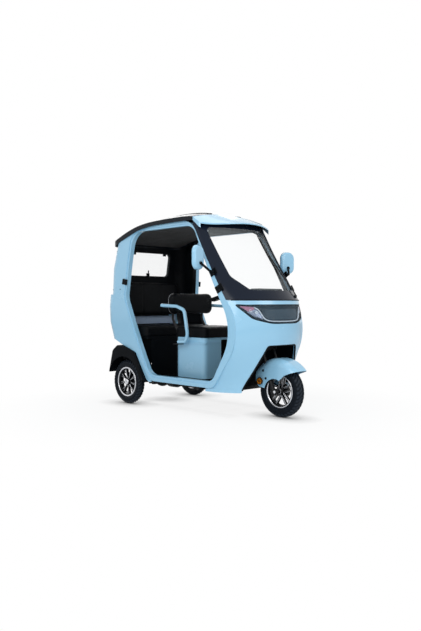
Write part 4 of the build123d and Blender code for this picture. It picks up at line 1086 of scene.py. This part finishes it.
wall = node_tree_of("rear_lining", "rear_window", "rear_panel")
opening = rounded_ring(0.290, 1.240, 1.490, 0.052)
for name, start_x, way in (("inside", CABIN_X, -1), ("outside", BEHIND_X, 1)):
    route = [(spot_on(wall, (start_x, y, z), (way, 0, 0)).x - way * 0.002, y, z) for y, z in opening]
    add_piece("rear_window_gasket_" + name, rod_form(route, 0.0085, closed=True), soft_rubber)
points, faces = [], []
for y, z in rounded_ring(0.2842, 1.2458, 1.4842, 0.0442):
    shift = SILL_SHIFT if z > WINDOW_MIDDLE_Z else -SILL_SHIFT
    inner = spot_on(wall, (CABIN_X, y * SIDE_SHIFT, z), BACKWARDS)
    outer = spot_on(wall, (BEHIND_X, y * SIDE_SHIFT, z + shift), FORWARDS)
    points += [(inner.x, y, z), (outer.x + 0.0015, y, z)]
for here in range(0, len(points), 2):
    there = (here + 2) % len(points)
    faces.append((here, there, there + 1, here + 1))
add_piece("rear_window_reveal", mesh_of(points, faces), soft_rubber)
print("gasket points:", len(opening))

# %% [markdown]
# The screen wiper is a thin blade in a holder, on an arm that runs down the glass's left side to a pivot
# in the surround. Points along it are found on the outside of the screen and lifted off it a little.

# %% Wiper
BLADE_TOP, BLADE_FOOT = (0.150, 1.575), (0.162, 1.185)
BLADE_LIFT = 0.0045
PIVOT = [(0.0005, 0), (0.0005, 0.020), (0.010, 0.020), (0.014, 0.014), (0.016, 0)]
screen = node_tree_of("windscreen_glass", "windscreen_surround", "nose_panel")


def on_screen(y, z, lift):
    spot, normal = surface(screen, (AHEAD_X, y, z), BACKWARDS)
    return spot + (normal if normal.x > 0 else -normal) * lift


blade_route = []
for step in range(13):
    y, z = (top + (foot - top) * step / 12 for top, foot in zip(BLADE_TOP, BLADE_FOOT))
    blade_route.append(on_screen(y, z, BLADE_LIFT))
holder_route = [point + Vector((0.006, 0, 0.004)) for point in blade_route[1:-1]]
arm_spots = [(0.158, 1.38, 0.018), (0.185, 1.26, 0.020), (0.215, 1.14, 0.020), (0.235, 1.055, 0.018)]
arm_route = [on_screen(*spot) for spot in arm_spots + [(0.240, 1.030, 0.012)]]
wiper_forms = [rod_form(blade_route, 0.0042), rod_form(holder_route, 0.0036), rod_form(arm_route, 0.0055)]
pivot = placed(turned_form(PIVOT), turned(-62, "Z"))
wiper_forms.append(placed(pivot, Matrix.Translation(on_screen(0.240, 1.028, -0.002))))
add_piece("screen_wiper", joined(wiper_forms), powder_coat)
print("wiper points:", len(blade_route) + len(arm_route))

# %% [markdown]
# A mirror's glass sits in a black rim round the shell's open side. The rim follows the shell's edge, which
# is the same rounded rectangle, turned with the mirror.

# %% Mirror rims
MIRROR_PLACE = Vector((CABIN_FRONT_X - 0.430, 0.590, 1.347))
MIRROR_YAW = -13
set_out = Matrix.Translation(MIRROR_PLACE) @ turned(MIRROR_YAW, "Z")
rim_route = [set_out @ Vector((0.0005, y, z)) for y, z in rounded_ring(0.0715, -0.0990, 0.0990, 0.0580)]
rims = both_ways(rod_form(rim_route, 0.0048, closed=True))
add_piece("mirror_rims", rims, grained_plastic)
print("mirror rims at x", round(min(point.x for point in rim_route), 3))

# %% [markdown]
# The bolts of the hoop clips and the fender and the quarter panels' screws all come from one tree. Each
# spot is found by a ray from outside, so the head sits on its panel and faces outwards.

# %% Bolts and screws


def side_spots(names, rows, reach, level=False):
    """Screw spots on both sides, by rays from a reach at each (x, z). Level ones point straight out."""
    tree = node_tree_of(*names)
    found = []
    for side in (-1, 1):
        for x, z in rows:
            spot, normal = surface(tree, (x, side * reach, z), (0, -side, 0))
            outward = normal if normal.y * side > 0 else -normal
            found.append((spot, (0, side, 0) if level else outward))
    return found


clip_x = REAR_AXLE_X + 0.010
clip_rows = [(clip_x, 1.186), (clip_x, 1.154), (0.545, 1.074), (0.525, 1.106), (0.474, 1.212), (0.458, 1.240)]
fender_rows = [(0.700, 0.395), (0.728, 0.330)]
quarter_rows = [(-0.93, 1.10), (-0.80, 1.10), (-0.90, 1.47)]
clip_spots = side_spots(["hoop_clips"], clip_rows, 1.0, level=True)
screws("clip_bolts", clip_spots, 0.0055, 0.004, powder_coat)
fender_spots = side_spots(["front_fender"], fender_rows, 0.4)
screws("fender_bolts", fender_spots, 0.0075, 0.005, powder_coat, "steering")
quarter_spots = side_spots(["quarter_panel_left", "quarter_panel_right"], quarter_rows, 1.0)
screws("quarter_panel_screws", quarter_spots, 0.004, 0.002, powder_coat)
print("screws:", len(clip_spots), len(fender_spots), len(quarter_spots))

# %% [markdown]
# Each turn lamp is a ribbed amber dome in a black ring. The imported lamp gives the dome, and the ring and
# the crossed ribs, which make the lens look dark in the photo, are laid on it.

# %% Lamp rings on the fender
LAMP_RING = [(0.0265, 0.111), (0.0265, 0.121), (0.0305, 0.121), (0.0315, 0.111)]
LAMP_FACE_Y = 0.1205
LAMP_RIB = Vector((0.027, 0.0012, 0.0018))
low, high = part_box("turn_lamps")
lamp_middle = Vector(((low[0] + high[0]) / 2, 0, (low[2] + high[2]) / 2))
lamp_forms = []
for side in (-1, 1):
    lamp_forms.append(turned_form([(r, side * y) for r, y in LAMP_RING], lamp_middle, 40))
    face = Vector((0, side * LAMP_FACE_Y, 0))
    for angle in (20, 80, 140):
        rib = placed(soft_box(face - LAMP_RIB, face + LAMP_RIB, 0.0005, 1), turned(angle, "Y"))
        lamp_forms.append(placed(rib, Matrix.Translation(lamp_middle)))
add_piece("turn_lamp_rings", joined(lamp_forms), grained_plastic, "steering")
print("turn lamps at", round(lamp_middle.x, 3), round(lamp_middle.z, 3))

# %% [markdown]
# A strip closes the wall behind the bench, below the backrest. It is the inner face of the light-blue
# body paint, coloured greyer as that paint looks in shade, so its grey is painted shade. A thin upright
# parts it, and it stands just in front of the imported wall.

# %% Strip behind the bench, greyed as painted shade
STRIP_LOW, STRIP_HIGH = 0.755, 0.835
strip = soft_box((-0.9655, -0.380, STRIP_LOW), (-0.9600, 0.380, STRIP_HIGH), 0.002)
upright = soft_box((-0.9610, -0.006, STRIP_LOW), (-0.9570, 0.006, STRIP_HIGH), 0.001)
add_piece("bench_wall_strip", joined([strip, upright]), wall_paint_with_painted_shade)
print("trim strip from", STRIP_LOW, "to", STRIP_HIGH)

# %% [markdown]
# The handlebar carries two lever holders with switch housings, and each grip has raised ribs. The grips
# run at a slant, so these parts are made along their own axis and then turned into place.

# %% Levers, switches and grip ribs
GRIP_RIB = [(0.0150, -0.0014), (0.0168, -0.0009), (0.0168, 0.0009), (0.0150, 0.0014)]
GRIP_END = [(0.0005, -0.002), (0.019, -0.002), (0.019, 0.003), (0.015, 0.006), (0.0005, 0.006)]
LEVER_ROUTE = [(0.030, -0.020, 0.000), (0.052, 0.000, -0.004), (0.056, 0.050, -0.008), (0.050, 0.098, -0.010)]
grip_low, grip_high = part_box("hand_grips")
grip_inner = Vector((grip_high[0] - 0.019, 0.212, grip_high[2] - 0.019))
grip_outer = Vector((grip_low[0] + 0.016, grip_high[1] - 0.002, grip_low[2] + 0.017))
grip_line = grip_outer - grip_inner
along_grip = Vector((0, 1, 0)).rotation_difference(grip_line).to_matrix().to_4x4()


def on_grip(share, mesh):
    """Turn a mesh made along Y into the grip's line and put it at a share of the grip's length."""
    return placed(mesh, Matrix.Translation(grip_inner + grip_line * share) @ along_grip)


ribs = [on_grip(0.18 + 0.065 * step, turned_form(GRIP_RIB)) for step in range(12)]
ribs.append(on_grip(1.0, turned_form(GRIP_END)))
add_piece("grip_ribs", both_ways(joined(ribs)), soft_rubber, "steering")
holder = [soft_box((-0.024, -0.056, -0.019), (0.022, -0.010, 0.021), 0.006, 3)]
for y, z in ((-0.046, 0.004), (-0.030, 0.004), (-0.038, -0.010)):
    holder.append(soft_box((-0.026, y - 0.005, z), (-0.018, y + 0.005, z + 0.007), 0.0015))
housings = both_ways(joined([on_grip(0, form) for form in holder]))
add_piece("switch_housings", housings, grained_plastic, "steering")
lever_root = soft_box((0.010, -0.034, -0.008), (0.036, -0.008, 0.008), 0.003)
lever = joined([rod_form(LEVER_ROUTE, 0.0048), lever_root])
add_piece("brake_levers", both_ways(on_grip(0, lever)), powder_coat, "steering")
print("grip from", grip_inner.to_tuple(3), "to", grip_outer.to_tuple(3))

# %% [markdown]
# The dashboard's pod holds a dark display in a thin raised frame. It faces the driver at a slope and
# carries no text.

# %% Display
POD_LOW, POD_HIGH = 1.010, 1.070
dash = node_tree_of("dashboard")
pod_low, pod_high = (spot_on(dash, (0.2, 0, z), FORWARDS) for z in (POD_LOW, POD_HIGH))
slope = (pod_high - pod_low).normalized()
middle = (pod_low + pod_high) / 2
set_in = Matrix.Translation(middle) @ Matrix.Rotation(math.atan2(slope.x, slope.z), 4, "Y")
screen_plate = soft_box((-0.003, -0.085, -0.027), (0.001, 0.085, 0.027), 0.001)
frame_bars = [
    soft_box((-0.005, -0.092, 0.027), (0.001, 0.092, 0.033), 0.0015),
    soft_box((-0.005, -0.092, -0.033), (0.001, 0.092, -0.027), 0.0015),
    soft_box((-0.005, 0.085, -0.030), (0.001, 0.092, 0.030), 0.0015),
    soft_box((-0.005, -0.092, -0.030), (0.001, -0.085, 0.030), 0.0015),
]
add_piece("display_screen", placed(screen_plate, set_in), display_glass)
add_piece("display_frame", placed(joined(frame_bars), set_in), grained_plastic)
print("display at", middle.to_tuple(3))

# %% [markdown]
# The pedal has raised rubber ribs where both ends of a rib find the pad, and the floor has a ribbed mat
# between driver and bench.

# %% Pedal pad and floor mat
MAT_REAR_X, MAT_PITCH = -0.42, 0.011
low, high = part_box("brake_pedal")
pedal = node_tree_of("brake_pedal")
pad_ribs = []
for step in range(5):
    y = low[1] + 0.012 + step * (high[1] - low[1] - 0.024) / 4
    spots = [look_for(pedal, (x, y, 0.6), DOWN)[0] for x in (low[0] + 0.006, low[0] + 0.030)]
    if None not in spots:
        pad_ribs.append(rod_form([spot + Vector((0, 0, 0.001)) for spot in spots], 0.0022, bends=False))
add_piece("pedal_pad_ribs", joined(pad_ribs), soft_rubber)
floor_tree = node_tree_of("floor_pan")
mat_ribs = []
for step in range(17):
    x = MAT_REAR_X + step * MAT_PITCH
    z = spot_on(floor_tree, (x, 0.2, 0.5), DOWN).z
    mat_ribs.append(soft_box((x - 0.003, -0.385, z - 0.001), (x + 0.003, 0.385, z + 0.002), 0.001, 1))
add_piece("floor_mat_ribs", joined(mat_ribs), soft_rubber)
print("pedal ribs:", len(pad_ribs), "mat ribs:", len(mat_ribs))

# %% [markdown]
# The ceiling's felt has thin seams across it, and a small dome lamp sits in its middle.

# %% Ceiling seams and dome lamp
CABIN_Z = 1.2
SEAM_SINK = Vector((0, 0, 0.0012))
ceiling = node_tree_of("ceiling_liner")
seam_places = [-0.36 + 0.06 * step for step in range(13)]
seams = []
for x in (-0.70, -0.42, -0.14, 0.08):
    line = [spot_on(ceiling, (x, y, CABIN_Z), UP) + SEAM_SINK for y in seam_places]
    seams.append(rod_form(line, 0.0028))
add_piece("ceiling_seams", joined(seams), headlining)
top = spot_on(ceiling, (-0.12, 0, CABIN_Z), UP).z
dome = soft_box((-0.15, -0.022, top - 0.010), (-0.09, 0.022, top + 0.002), 0.004, 3)
add_piece("dome_lamp", dome, light_guide)
print("ceiling height", round(top, 3))

# %% [markdown]
# The nose's wheel opening is edged with a black rubber bead, and so is the foot of the windscreen's
# surround. Both hide a raw edge. Rays find the arch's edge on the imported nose, stepping outwards.

# %% Rubber beads
ARCH_BOTTOM, ARCH_TOP = 0.238, 0.617
NOSE_SKIN_X = 0.45
SEAM_Z = 0.9925
SEAM_CENTRE = Vector((0.40, 0, 0.984))
nose = node_tree_of("nose_panel")


def arch_edge(z):
    """The first spot of the nose's left half that a ray from the front meets, from the middle out."""
    for step in range(60, 460, 2):
        y = step / 1000
        spot = look_for(nose, (AHEAD_X, y, z), BACKWARDS)[0]
        if spot is not None and spot.x > NOSE_SKIN_X:
            return Vector((spot.x - 0.001, y, z))
    raise RuntimeError("no arch edge at height %s" % z)


arch_heights = [ARCH_BOTTOM + 0.0365 * step for step in range(10)] + [0.590, 0.602, 0.610]
left_edge = [arch_edge(z) for z in arch_heights]
right_edge = [Vector((spot.x, -spot.y, spot.z)) for spot in reversed(left_edge)]
arch_top = spot_on(nose, (AHEAD_X, 0, ARCH_TOP), BACKWARDS) + Vector((-0.001, 0, 0))
add_piece("arch_bead", rod_form(left_edge + [arch_top] + right_edge, 0.0075), soft_rubber)
print("arch bead points:", len(left_edge) * 2 + 1)
seam_tree = node_tree_of("nose_panel", "windscreen_surround")
seam_route = []
for degree in range(-86, 87, 4):
    way = Vector((math.cos(math.radians(degree)), math.sin(math.radians(degree)), 0))
    spot = look_for(seam_tree, SEAM_CENTRE + way * 1.5, -way)[0]
    if spot is not None:
        seam_route.append(Vector((spot.x, spot.y, SEAM_Z)) - way * 0.0015)
add_piece("screen_foot_bead", rod_form(seam_route, 0.0048), soft_rubber)
print("screen foot points:", len(seam_route))

# %% [markdown]
# The last cell compares the dressed model with the solid one, because no piece may stick out of it.

# %% Sizes and finish
dressed_box = [list(corner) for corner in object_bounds()]
for side, solid, dressed in zip(("lowest", "highest"), cad_box, dressed_box):
    print(side, [round(b - a, 4) for a, b in zip(solid, dressed)])
